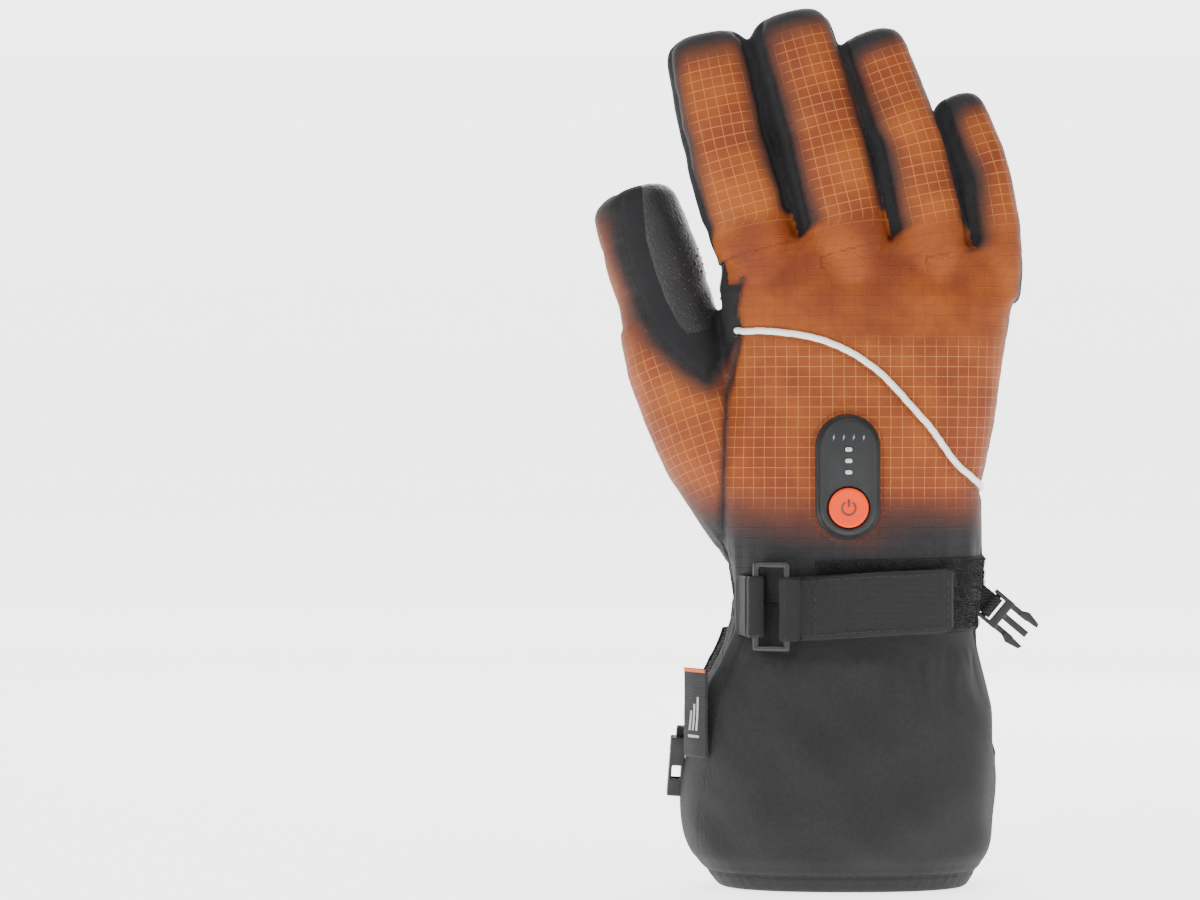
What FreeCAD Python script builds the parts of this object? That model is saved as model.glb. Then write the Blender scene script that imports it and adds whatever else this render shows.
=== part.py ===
import FreeCAD, Part
import functools
import math
import os

# Heated ski glove for the right hand, standing on its gauntlet hem with the fingers up.
# +Z runs from the hem to the fingertips, the back of the hand faces -Y, the palm faces +Y and the thumb is
# on -X. The origin is the centre of the hem's opening, in the plane that the hem stands on. Millimetres.

V = FreeCAD.Vector
os.makedirs("parts", exist_ok=True)

# --- driving dimensions ---
shell_wall = 1.4           # outer fabric
pad_wall = 3.2             # insulation in the hand
lining_wall = 1.2          # fleece next to the hand
finger_pad_wall = 3.4      # padded lining of a finger
layer_gap = 0.2            # slack between two layers of fabric
hinge_gap = 0.4            # room round a folding knuckle
oval_power = 2.4           # squareness of the hand and cuff sections

wrist_z = 112.0            # seam between the gauntlet and the hand
knuckle_z = 232.5          # where the hand ends and the fingers start
knuckle_slope = -0.055     # the hand's top edge falls towards the little finger

# gauntlet and hand, from the hem up: height, centre x, centre y, half width, half depth
body_sections = [(0, 1, 3, 50, 31), (5, 0.5, 3, 54, 34.5), (14, 0, 3, 57.5, 37), (30, 0, 3, 59, 38),
                 (55, 0, 3, 57, 36.5), (75, 1, 3, 54, 33.5), (92, 4, 2.5, 49, 29.5), (112, 6, 2, 47.5, 27.5),
                 (128, 5, 2, 48.5, 27.5), (150, 3, 2, 51, 27.5), (180, 8, 2, 51.5, 27),
                 (210, 11, 2, 54.5, 25.5), (240, 10, 2.5, 58.5, 21)]
# inner face of the gauntlet's lining: it leaves room for the battery on the palm side
lining_sections = [(0, 1, 2, 43, 25), (14, 0, -2, 49, 22), (30, 0, -6, 50, 18.5), (55, 0, -6, 48.5, 18),
                   (75, 1, -5, 46, 17), (92, 4, -3, 42, 17), (112, 6, 2, 40.5, 20.5)]
# root of the thumb: point on its axis, half width, half depth
thumb_root = [(V(-26, 8, 126), 16, 18), (V(-44, 11, 162), 22.5, 21), (V(-62.5, 15, 205), 19.5, 17.5)]

# digits: knuckle, lean towards the thumb side, lean towards the palm, segment lengths, half width and depth
digits = {
    "index": {"knuckle": V(-32.5, 0, 250.4), "lean": (11.5, 15), "curl": (3, 7),
            "lengths": (30, 43), "half": (15.2, 14.2)},
    "middle": {"knuckle": V(-0.5, -2.5, 250.6), "lean": (9, 18), "curl": (3, 6),
             "lengths": (33, 48), "half": (15.0, 14.4)},
    "ring": {"knuckle": V(31.8, 0, 248.2), "lean": (10.5, 21.5), "curl": (3, 8),
           "lengths": (32, 45), "half": (14.2, 13.9)},
    "little": {"knuckle": V(60.4, 7, 242.8), "lean": (10.5, 17.5), "curl": (4, 10),
             "lengths": (25, 33), "half": (11.4, 11.4)},
}
thumb_seam = V(-45.5, 0, 205)      # a point of the seam between the hand and the thumb's panel
thumb_seam_top = 224.0
thumb = {"knuckle": V(-66.3, 17.3, 222.6), "lean": 17, "curl": 8, "roll": 42,
         "length": 43, "half": (17.2, 15.2)}
segment_taper = 0.96       # a lower segment is this much slimmer at its far end
tip_taper = 0.88           # and an upper one where its dome starts
room_side = 0.6            # room beside a folding digit
crumb = 0.002              # cutting leaves crumbs smaller than this share of a piece, which are dropped
tip_dome = 12.0            # length of the rounded fingertip
binding_top = 6.0          # height of the hem's binding

# controller on the back of the hand
control_x, control_z = 1.3, 154.0
control_size = (20.7, 43.4, 5.0)
control_wall = 1.0
button_z = control_z - (control_size[1] - control_size[0]) / 2
button_radius = 7.2
button_proud = 1.0
button_travel = 0.8
button_flange = 1.0
button_gap = 0.2
light_heights = (155.8, 160.0, 164.2)
light_size = (2.7, 1.6)

# wrist strap
strap_low, strap_high = 93.0, 119.0
strap_wall = 1.6
strap_lift = 0.3
hook_wall = 0.5
strap_end_x = 40.0
ring_bar = 1.3
ring_inner = (-32.6, -24.6)     # bar held by the anchor webbing
ring_outer = (-21.4, -28.8)     # bar that the strap folds round
bar_gap = 0.25

# side-release clip on the ulnar side of the wrist
clip_pivot = V(58.2, 15.0, 105.0)
clip_fall = 40.0           # degrees below the horizontal
clip_width, clip_depth, clip_length = 12.4, 4.4, 6.6
prong_length = 12.5
clip_bar = 1.1
webbing_width = 8.6
socket_pivot = V(-60.8, 13.0, 53.0)
socket_lean = 0.08
socket_length = 20.0

# battery pocket and its zip, on the palm side of the gauntlet
zip_z = 25.0
zip_front = 40.6           # how far out the middle of the zip's line is
zip_radius = 105.0
zip_half_chord = 47.0
tape_gap = 1.2
zip_tilt = 3.4
zip_window = 8.4
zip_slit = 2.4
tape_wall = 0.8
tape_height = 8.0
slider_length = 9.0
pull_length, pull_width = 13.0, 7.2
slider_angle = -23.0       # where the closed slider rests, measured from the middle of the zip
battery_size = (60.0, 10.5, 44.0)
battery_corner = V(-30, 15.3, 38)
pocket_wall = 0.5
pocket_gap = 0.3

# hem drawcord
cord_radius = 1.1
lock_centre = V(48.0, 35.4, 15.0)
lock_turn = 33.0           # the lock lies along the corner of the gauntlet
lock_radius, lock_length = 4.2, 11.0
plunger_radius = 3.0
plunger_gap = 0.15
lock_travel = 1.6
lock_slot = (6.2, 3.0)


# --- helpers ---
def oval_wire(z, cx, cy, a, b, count=20):
    """Closed wire of a rounded oval, level at height z."""
    points = []
    for i in range(count):
        t = 2 * math.pi * i / count
        c, s = math.cos(t), math.sin(t)
        points.append(V(cx + a * math.copysign(abs(c) ** (2 / oval_power), c),
                        cy + b * math.copysign(abs(s) ** (2 / oval_power), s), z))
    curve = Part.BSplineCurve()
    curve.interpolate(points, True)
    return Part.Wire(curve.toShape())


@functools.lru_cache(maxsize=None)
def whole_tube(sections, inset):
    """Solid through level oval sections, drawn in by inset and run on past its two ends."""
    first, last = sections[0], sections[-1]
    rows = ((first[0] - 10, *first[1:]), *sections, (last[0] + 10, *last[1:]))
    wires = [oval_wire(z, cx, cy, a - inset, b - inset) for z, cx, cy, a, b in rows]
    return Part.makeLoft(wires, True, False)


def tube(low, high, inset=0.0, sections=tuple(body_sections)):
    """Slice of a tube between two heights, so that every layer is cut from the same surface."""
    return whole_tube(tuple(sections), round(inset, 3)).common(block(-200, 200, -200, 200, low, high))


def layer(low, high, outer, wall, sections=tuple(body_sections)):
    """Wall between two depths below a tube's surface; depths outside it are negative."""
    return tube(low, high, outer, sections).cut(whole_tube(tuple(sections), round(outer + wall, 3)))


def axes_along(direction, palm):
    """Rotation whose local Z is direction and whose local Y is palm, squared up."""
    z = V(direction).normalize()
    x = palm.cross(z).normalize()
    y = z.cross(x)
    return FreeCAD.Rotation(FreeCAD.Matrix(x.x, y.x, z.x, 0, x.y, y.y, z.y, 0, x.z, y.z, z.z, 0, 0, 0, 0, 1))


def leaning(lean, curl):
    """Unit vector that leans towards the thumb side and curls towards the palm, in degrees."""
    a, b = math.radians(lean), math.radians(curl)
    return V(-math.sin(a) * math.cos(b), math.sin(b), math.cos(a) * math.cos(b))


def ellipse_wire(s, a, b):
    """Ellipse in the local XY plane at local height s."""
    if a >= b:
        curve = Part.Ellipse(V(0, 0, s), a, b)
    else:
        curve = Part.Ellipse(V(0, b, s), V(a, 0, s), V(0, 0, s))
    return Part.Wire(curve.toShape())


def local_loft(rows):
    return Part.makeLoft([ellipse_wire(*row) for row in rows], True, True)


def placed(shape, origin, rotation):
    moved = shape.copy()
    moved.Placement = FreeCAD.Placement(origin, rotation)
    return moved


def cylinder_x(radius, half_length, s=0.0):
    """Cylinder along the local X axis, at local height s."""
    return Part.makeCylinder(radius, 2 * half_length, V(-half_length, 0, s), V(1, 0, 0))


def block(x0, x1, y0, y1, z0, z1):
    return Part.makeBox(x1 - x0, y1 - y0, z1 - z0, V(x0, y0, z0))


def export(name, *shapes):
    """Writes one node; a node with several shapes is a group of separate solids."""
    solids = [s for shape in shapes for s in shape.Solids]
    largest = max(s.Volume for s in solids)
    solids = [s for s in solids if s.Volume > largest * crumb]
    group = solids[0] if len(solids) == 1 else Part.makeCompound(solids)
    if not group.isValid():
        print("not valid:", name)
    group.exportStep(os.path.join("parts", name + ".step"))
    print(f"{name}: {len(solids)} solid(s), {group.Volume / 1000:.2f} cm3")


# --- digits ---
def segment_rows(length, a, b, inset, tip):
    """Sections of one finger segment from below its knuckle to its far end."""
    rows = [(-b - 2, a - inset, b - inset), (0, a - inset, b - inset)]
    taper = tip_taper if tip else segment_taper
    far_a, far_b = a * taper, b * taper
    if not tip:
        return rows + [(length + b, far_a - inset, far_b - inset)]
    start = length - tip_dome
    for degrees in (0, 25, 50, 70, 84):
        t = math.radians(degrees)
        share = math.cos(t) ** 0.75
        height = start + (tip_dome - inset) * math.sin(t)
        rows.append((height, (far_a - inset) * share, (far_b - inset) * share))
    return rows


def segment(length, a, b, outer_inset, wall, tip):
    """Hollow segment with a barrel end round its own knuckle, in its local frame."""
    outer = local_loft(segment_rows(length, a, b, outer_inset, tip))
    inner_inset = outer_inset + wall
    inner_rows = segment_rows(length, a, b, inner_inset, tip)
    inner_rows[0] = (inner_rows[0][0] - 2, *inner_rows[0][1:])
    if not tip:
        inner_rows[-1] = (inner_rows[-1][0] + 2, *inner_rows[-1][1:])
    reach = 2 * (length + a + b)
    barrel = cylinder_x(b - outer_inset, reach)
    keep = barrel.fuse(block(-reach, reach, -reach, reach, 0, reach))
    return outer.common(keep).cut(local_loft(inner_rows))


def knuckle_room(a, b):
    """What the next segment sweeps as it folds towards the palm, in that segment's local frame."""
    r = b + hinge_gap
    far = 4 * (a + b)
    palmward = block(-far, far, 0, far, -r, far)
    return cylinder_x(r, far).fuse(palmward).fuse(block(-far, far, -far, far, 0, far))


class Digit:
    """Places a digit's two segments, or the thumb's one."""

    def __init__(self, spec):
        self.a, self.b = spec["half"]
        palm = V(0, 1, 0)
        self.turn1 = axes_along(leaning(spec["lean"][0], spec["curl"][0]), palm)
        self.turn2 = axes_along(leaning(spec["lean"][1], spec["curl"][1]), palm)
        self.knuckle = spec["knuckle"]
        self.l1, self.l2 = spec["lengths"]
        self.middle = self.knuckle + self.turn1.multVec(V(0, 0, self.l1))
        self.a2, self.b2 = self.a * segment_taper, self.b * segment_taper

    def lower(self, outer_inset, wall):
        solid = placed(segment(self.l1, self.a, self.b, outer_inset, wall, False), self.knuckle, self.turn1)
        return solid.cut(placed(knuckle_room(self.a2, self.b2), self.middle, self.turn2))

    def upper(self, outer_inset, wall):
        return placed(segment(self.l2, self.a2, self.b2, outer_inset, wall, True), self.middle, self.turn2)


def build_fingers():
    for name, spec in digits.items():
        digit = Digit(spec)
        lining_inset = shell_wall + layer_gap
        export(name + "_lower_shell", digit.lower(0, shell_wall))
        export(name + "_lower_lining", digit.lower(lining_inset, finger_pad_wall))
        export(name + "_upper_shell", digit.upper(0, shell_wall))
        export(name + "_upper_lining", digit.upper(lining_inset, finger_pad_wall))
    digit = Digit(digits["index"])
    skin = placed(segment(digit.l2, digit.a2, digit.b2, -1.0, 0.8, True), digit.middle, digit.turn2)
    patch = placed(block(-9, 9, 4, 30, 11, digit.l2 - 6), digit.middle, digit.turn2)
    export("index_touch_patch", skin.common(patch))


def thumb_turn():
    """The thumb folds across the palm, so its palm side is rolled towards the fingers."""
    roll = math.radians(thumb["roll"])
    return axes_along(leaning(thumb["lean"], thumb["curl"]), V(math.sin(roll), math.cos(roll), 0))


def build_thumb():
    a, b = thumb["half"]
    layers = (("thumb_shell", 0, shell_wall), ("thumb_lining", shell_wall + layer_gap, finger_pad_wall))
    for name, inset, wall in layers:
        tip = segment(thumb["length"], a, b, inset, wall, True)
        export(name, placed(tip, thumb["knuckle"], thumb_turn()))


# --- hand and gauntlet ---
def root_of_thumb(inset, above=0.0):
    """Cone from inside the hand to the thumb's knuckle."""
    wires = []
    turn = thumb_turn()
    rows = [(p, a - inset, b - inset) for p, a, b in thumb_root]
    if above:
        p, a, b = rows[-1]
        rows.append((p + turn.multVec(V(0, 0, above)), a, b))
    for point, a, b in rows:
        wire = ellipse_wire(0, a, b)
        wire.Placement = FreeCAD.Placement(point, turn)
        wires.append(wire)
    return Part.makeLoft(wires, True, True)


def folding_room(half_width, b):
    """What a digit's first segment sweeps beside the hand, in that segment's local frame."""
    r = b + hinge_gap
    sweep = cylinder_x(r, half_width).fuse(block(-half_width, half_width, -30, 30, 0, 60))
    return sweep.fuse(block(-half_width, half_width, 0, 40, -r, 60))


@functools.lru_cache(maxsize=None)
def beyond_hand():
    """Everything past the slanting line where the fingers start, and what the digits need to fold."""
    box = block(-200, 200, -200, 200, 0, 100)
    box.rotate(V(0, 0, 0), V(0, 1, 0), math.degrees(math.atan(-knuckle_slope)))
    box.translate(V(0, 0, knuckle_z))
    half_width, half_depth = thumb["half"]
    rooms = [placed(folding_room(half_width + room_side, half_depth), thumb["knuckle"], thumb_turn())]
    for spec in digits.values():
        digit = Digit(spec)
        rooms.append(placed(folding_room(digit.a + room_side, digit.b), digit.knuckle, digit.turn1))
    return box.multiFuse(rooms)


def hand_layer(outer, wall):
    low, high = wrist_z, knuckle_z + 6
    outside = tube(low, high, outer).fuse(root_of_thumb(outer))
    inside = tube(low - 3, high + 3, outer + wall).fuse(root_of_thumb(outer + wall, 3))
    return outside.cut(inside).cut(beyond_hand())


def thumb_side():
    """Half space on the thumb's side of the seam that runs down from the crotch of the thumb."""
    side = block(-200, 0, -200, 200, -200, thumb_seam_top - thumb_seam.z)
    side.rotate(V(0, 0, 0), V(0, 1, 0), -1.5)
    side.translate(thumb_seam)
    return side


def build_hand():
    shell = hand_layer(0, shell_wall)
    gap = 0.1
    back = block(-200, 200, -200, 1.5 - gap, 0, 400)
    palm = block(-200, 200, 1.5 + gap, 200, 0, 400)
    side = thumb_side()
    export("back_shell", shell.common(back).cut(side))
    export("palm_panel", shell.common(palm).cut(side))
    side.translate(V(-0.2, 0, 0))
    export("thumb_panel", shell.common(side))
    pad_inset = shell_wall + 1.4 + layer_gap      # the heating mat lies between the shell and the padding
    export("hand_insulation", hand_layer(pad_inset, pad_wall))
    export("hand_lining", hand_layer(pad_inset + pad_wall + layer_gap, lining_wall))


def build_cuff():
    top = wrist_z - 0.3
    export("hem_binding", layer(0, binding_top, 0, shell_wall))
    shell = layer(binding_top + 0.2, top, 0, shell_wall)
    export("cuff_shell_back", shell.common(block(-200, 200, -200, 1.4, 0, 400)))
    palm = shell.common(block(-200, 200, 1.6, 200, 0, 400))
    window = zip_band(zip_radius - 8, zip_radius + 8, -zip_window / 2, zip_window / 2, zip_half_chord)
    export("cuff_shell_palm", palm.cut(window))
    export("cuff_lining", layer(3, wrist_z - 0.6, -lining_wall, lining_wall, lining_sections))
    # two elastic bands gather the palm side of the wrist between the shell and the lining
    palm_side = block(-36, 46, 9, 60, 0, 200)
    bands = [layer(z, z + 5, shell_wall + layer_gap, 0.8).common(palm_side) for z in (96, 103.5)]
    export("wrist_elastic", *bands)


def build_piping():
    """Reflective cord sewn across the back, from the crotch of the thumb to the little finger's side."""
    points = [(-39, 208.6), (-27, 209.0), (-14, 207.0), (0, 199.2), (14, 188.6), (28, 174.6),
              (40, 160.8), (52, 150.2)]
    half = 1.7
    spine = Part.BSplineCurve()
    spine.interpolate([V(x, 0, z) for x, z in points])
    edge = spine.toShape()
    upper, lower = [], []
    first, last = edge.ParameterRange
    steps = 14
    for i in range(steps + 1):
        u = first + (last - first) * i / steps
        p, t = edge.valueAt(u), edge.tangentAt(u)
        normal = V(-t.z, 0, t.x)
        upper.append(p + normal * half)
        lower.append(p - normal * half)
    sides = []
    for row in (upper, lower[::-1]):
        curve = Part.BSplineCurve()
        curve.interpolate(row)
        sides.append(curve.toShape())
    ends = [Part.makeLine(upper[-1], lower[-1]), Part.makeLine(lower[0], upper[0])]
    face = Part.Face(Part.Wire([sides[0], ends[0], sides[1], ends[1]]))
    prism = face.extrude(V(0, -60, 0))
    export("reflective_piping", layer(140, 220, -1.7, 1.6).common(prism))


def surface_y(rows, x, z, side):
    """Depth of a tube's surface above or below the point (x, z): side is -1 on the back, 1 on the palm."""
    for (z0, *low), (z1, *high) in zip(rows, rows[1:]):
        if z0 <= z <= z1:
            t = (z - z0) / (z1 - z0)
            cx, cy, a, b = (p + (q - p) * t for p, q in zip(low, high))
            return cy + side * b * (1 - abs((x - cx) / a) ** oval_power) ** (1 / oval_power)
    raise ValueError("outside the tube")


# --- controller ---
def stadium(width, height, y0, y1, x, z):
    """Upright rounded plate, between depths y0 and y1."""
    r = width / 2
    half = height / 2 - r
    depth = y1 - y0
    plate = Part.makeBox(width, depth, 2 * half, V(x - r, y0, z - half))
    for end in (-half, half):
        plate = plate.fuse(Part.makeCylinder(r, depth, V(x, y0, z + end), V(0, 1, 0)))
    return plate.removeSplitter()


def build_controller():
    width, height, depth = control_size
    rear = surface_y(body_sections, control_x, control_z, -1) - layer_gap - 0.2
    front = rear - depth
    cavity_front, cavity_rear = front + 1.2, rear - control_wall
    housing = stadium(width, height, front, rear, control_x, control_z)
    housing = housing.makeFillet(0.9, [e for e in housing.Edges if abs(e.CenterOfMass.y - front) < 1e-6])
    inner = stadium(width - 2 * 1.9, height - 2 * 1.9, cavity_front, cavity_rear, control_x, control_z)
    hole = Part.makeCylinder(button_radius + button_gap, 10, V(control_x, front - 5, button_z), V(0, 1, 0))
    housing = housing.cut(inner).cut(hole)
    w, h = light_size
    lights = []
    for z in light_heights:
        window = stadium(h, w, front - 0.25, cavity_front + 0.5, control_x, z)
        window.rotate(V(control_x, 0, z), V(0, 1, 0), 90)
        housing = housing.cut(window)
        lights.append(window)
    export("controller_housing", housing)
    export("status_lights", *lights)
    board_front = cavity_rear - 0.1 - 0.8
    board = stadium(width - 4.4, height - 4.4, board_front, cavity_rear - 0.1, control_x, control_z)
    flange_thick = 0.6
    flange_rear = cavity_front + 0.1 + flange_thick
    dome_height = board_front - flange_rear - button_travel - 0.1
    dome_front = V(control_x, board_front - dome_height, button_z)
    dome = Part.makeCylinder(2.0, dome_height, dome_front, V(0, 1, 0))
    export("controller_board", board.fuse(dome))
    cap = Part.makeCylinder(button_radius, flange_rear - (front - button_proud),
                            V(control_x, front - button_proud, button_z), V(0, 1, 0))
    cap = cap.makeFillet(0.6, [e for e in cap.Edges if abs(e.CenterOfMass.y - (front - button_proud)) < 1e-6])
    flange = Part.makeCylinder(button_radius + button_flange, flange_thick,
                               V(control_x, cavity_front + 0.1, button_z), V(0, 1, 0))
    export("power_button", cap.fuse(flange))
    return front


# --- heating mat, battery and lead ---
def build_heater():
    """Heating cord laid in a serpentine between the shell and the padding, over the back of the hand."""
    inset = shell_wall + layer_gap
    x0, pitch, runs, low, high = -33.0, 11.0, 7, 184.0, 222.0
    bars = []
    for i in range(runs):
        x = x0 + pitch * i
        bars.append(block(x - 0.6, x + 0.6, -60, 0, low, high))
        if i < runs - 1:
            z = high if i % 2 == 0 else low
            bars.append(block(x - 0.6, x + pitch + 0.6, -60, 0, z - 0.6, z + 0.6))
    pattern = bars[0].multiFuse(bars[1:])
    export("heating_cord", layer(low - 2, high + 2, inset, 1.1).common(pattern))


def build_battery():
    w, d, h = battery_size
    pack = Part.makeBox(w, d, h, battery_corner)
    pack = pack.makeFillet(2.0, [e for e in pack.Edges if abs(e.BoundBox.ZLength - h) < 1e-6])
    export("battery_pack", pack)
    grow = pocket_gap + pocket_wall
    outer = Part.makeBox(w + 2 * grow, d + 2 * grow, h + grow + 4, battery_corner + V(-grow, -grow, -4))
    mouth = 9
    inner = Part.makeBox(w + 2 * pocket_gap, d + 2 * pocket_gap, h + pocket_gap + mouth,
                         battery_corner + V(-pocket_gap, -pocket_gap, -mouth))
    lead_hole = Part.makeCylinder(1.4, 6, battery_corner + V(w - 12, d / 2, h - 2), V(0, 0, 1))
    export("battery_pocket", outer.cut(inner).cut(lead_hole))
    socket = battery_corner + V(w - 12, d / 2, h + 0.05)
    plug = Part.makeCylinder(2.6, 7, socket + V(0, 0, 1.2), V(0, 0, 1)).fuse(
        Part.makeCylinder(1.1, 1.2, socket, V(0, 0, 1)))
    export("battery_plug", plug)


# --- zip ---
def zip_turned(shape):
    shape.rotate(V(0, 0, zip_z), V(0, 1, 0), -zip_tilt)
    return shape


def zip_axis_point():
    return V(0, zip_front - zip_radius, zip_z)


def ring_piece(inner, outer, low, high, half_chord):
    """Part of an upright ring about the zip's axis, between two heights above the zip's line."""
    base = zip_axis_point() + V(0, 0, low)
    ring = Part.makeCylinder(outer, high - low, base).cut(Part.makeCylinder(inner, high - low, base))
    return ring.common(block(-half_chord, half_chord, 0, 200, -100, 200))


def zip_band(*sizes):
    return zip_turned(ring_piece(*sizes))


def build_zip():
    tape_out = zip_radius - shell_wall - tape_gap
    tape_in = tape_out - tape_wall
    half = zip_slit / 2
    chord = zip_half_chord - 1
    export("zip_tape", zip_band(tape_in, tape_out, half, tape_height, chord),
           zip_band(tape_in, tape_out, -tape_height, -half, chord))
    chain_in, chain_out = tape_in - 1.6, tape_in - 0.1
    export("zip_chain", zip_band(chain_in, chain_out, half, 2.8, chord - 2),
           zip_band(chain_in, chain_out, -2.8, -half, chord - 2))
    # slider, built at the middle of the zip and turned to where it rests
    centre = zip_axis_point()
    top = zip_radius + 2.2
    sole = tape_out + 0.3
    half_l = slider_length / 2

    slider = ring_piece(sole, top, -3.6, 3.6, half_l)
    slider = slider.fuse(ring_piece(chain_in - 1.5, chain_in - 0.3, -3.4, 3.4, half_l))
    slider = slider.fuse(ring_piece(chain_in - 1.0, sole + 0.5, -0.8, 0.8, half_l - 1.5))
    # crown that the pull hangs from: a bridge with an eye along the zip
    y_top = centre.y + top
    crown = block(-2.6, 2.6, y_top - 0.6, y_top + 3.0, zip_z - 1.2, zip_z + 1.2)
    eye = Part.makeCylinder(0.95, 4, V(-0.4, y_top + 1.5, zip_z - 2), V(0, 0, 1))
    slider = slider.fuse(crown).cut(eye)
    # pull: a wire bow through the eye and a moulded tab
    wire_radius = 0.7
    pin = Part.makeCylinder(wire_radius, 5.4, V(-0.4, y_top + 1.5, zip_z - 2.7), V(0, 0, 1))
    starts = [V(-0.4, y_top + 1.5, zip_z + side * 2.35) for side in (-1, 1)]
    arms = [Part.makeCylinder(wire_radius, 5.5, start, V(1, 0, 0)) for start in starts]
    bow = pin.fuse(arms[0]).fuse(arms[1])
    half = pull_width / 2
    tab = block(4.4, 4.4 + pull_length, y_top + 0.3, y_top + 2.9, zip_z - half, zip_z + half)
    tab = tab.makeFillet(0.9, [e for e in tab.Edges if abs(e.BoundBox.YLength - 2.6) < 1e-6])
    tab = tab.cut(bow)
    out = []
    for shape in (slider, bow, tab):
        shape.rotate(centre, V(0, 0, 1), -slider_angle)
        out.append(zip_turned(shape))
    export("zip_slider", out[0])
    export("zip_pull_wire", out[1])
    export("zip_pull_tab", out[2])


# --- wrist strap ---
def on_wrist(lift, wall, x0, x1, low, high):
    """Layer of strap on the back of the wrist."""
    return layer(low, high, -lift - wall, wall).common(block(x0, x1, -60, 3, 0, 200))


def build_strap():
    low, high = strap_low, strap_high
    # loop-faced strap under the flap, sewn in the ulnar seam
    export("strap_loop_panel", on_wrist(strap_lift, strap_wall, -16, 70, low + 1, high + 5))
    # anchor webbing round the inner bar of the ring
    inner = V(ring_inner[0], ring_inner[1], low)
    anchor = on_wrist(strap_lift, strap_wall, -70, ring_inner[0] - 1, low, high)
    x, y = ring_inner
    seam = block(x - 4.5, x - 0.5, y + 0.6, y + 9, low, high).cut(tube(low - 5, high + 5, -strap_lift))
    anchor = anchor.fuse(seam)
    fold = Part.makeCylinder(ring_bar + bar_gap + 1.5, high - low, inner, V(0, 0, 1))
    hole = Part.makeCylinder(ring_bar + bar_gap, high - low + 40, inner - V(0, 0, 20), V(0, 0, 1))
    export("strap_anchor", anchor.fuse(fold).cut(hole))
    # rectangular ring
    bars = []
    reach = ring_bar + 1.2
    for x, y in (ring_inner, ring_outer):
        bars.append(Part.makeCylinder(ring_bar, high - low + 2 * reach, V(x, y, low - reach), V(0, 0, 1)))
    along = V(ring_outer[0] - ring_inner[0], ring_outer[1] - ring_inner[1], 0)
    for z in (low - reach, high + reach):
        bars.append(Part.makeCylinder(ring_bar, along.Length, V(*ring_inner, z), along))
        for x, y in (ring_inner, ring_outer):
            bars.append(Part.makeSphere(ring_bar, V(x, y, z)))
    export("strap_ring", bars[0].multiFuse(bars[1:]))
    # flap folded back over the outer bar
    outer = V(ring_outer[0], ring_outer[1], low)
    patch_lift = strap_lift + strap_wall + 0.3
    flap_lift = patch_lift + hook_wall + 0.05
    flap = on_wrist(flap_lift, strap_wall, ring_outer[0] + 0.5, strap_end_x, low, high)
    fold = Part.makeCylinder(ring_bar + bar_gap + 1.5, high - low, outer, V(0, 0, 1))
    hole = Part.makeCylinder(ring_bar + bar_gap, high - low + 40, outer - V(0, 0, 20), V(0, 0, 1))
    # the flap's free corners are cut back
    corner = block(-8, 8, -60, 3, -20, 20)
    corner.rotate(V(0, 0, 0), V(0, 1, 0), 20)
    corner.translate(V(strap_end_x + 6.0, 0, low))
    export("strap_flap", flap.fuse(fold).cut(hole).cut(corner))
    export("hook_patch", on_wrist(patch_lift, hook_wall, 12, strap_end_x - 5, low + 3, high - 3))


# --- side-release clip ---
def bar_end(half_w, half_d, length):
    """Block whose rear end holds a bar for webbing: local X runs along the bar, local Z away from it."""
    room = webbing_width / 2 + 0.4
    frame = block(-half_w, half_w, -half_d, half_d, -clip_bar - 1.1, length)
    frame = frame.cut(block(-room, room, -half_d - 1, half_d + 1, -clip_bar - 3, clip_bar + 2.2))
    return frame.fuse(cylinder_x(clip_bar, half_w - 1))


def webbing_fold(run):
    """Webbing folded round a clip's bar, with a flat run behind it."""
    w = webbing_width / 2
    outside = clip_bar + bar_gap + 1.0
    fold = cylinder_x(outside, w).cut(cylinder_x(clip_bar + bar_gap, w + 1))
    return fold.fuse(block(-w, w, -0.9, 0.9, -outside - run, -outside + 0.5))


def build_clip():
    """Plug half, on the little finger's side of the wrist."""
    fall = math.radians(clip_fall)
    turn = axes_along(V(math.cos(fall), 0, -math.sin(fall)), V(0, 1, 0))
    half_w, half_d = clip_width / 2, clip_depth / 2
    pieces = [block(-1.3, 1.3, -1.2, 1.2, clip_length - 1, clip_length + prong_length - 1.5)]
    for side in (-1, 1):
        x = side * (half_w - 1.3)
        pieces.append(block(x - 1.1, x + 1.1, -1.2, 1.2, clip_length - 1, clip_length + prong_length - 5))
        outline = [V(x - side * 1.1, 0, 0), V(x + side * 1.1, 0, 0), V(x + side * 2.4, 0, 2.6),
                   V(x + side * 1.2, 0, 8), V(x - side * 0.4, 0, 8.6), V(x - side * 1.1, 0, 0)]
        barb = Part.Face(Part.makePolygon(outline)).extrude(V(0, 3.0, 0))
        barb.translate(V(0, -1.5, clip_length + prong_length - 8.6))
        pieces.append(barb)
    export("clip_plug", placed(bar_end(half_w, half_d, clip_length).multiFuse(pieces), clip_pivot, turn))
    wrist = tube(80, 125, -strap_lift - strap_wall - 0.2)
    export("plug_webbing", placed(webbing_fold(6), clip_pivot, turn).cut(wrist))


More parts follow.
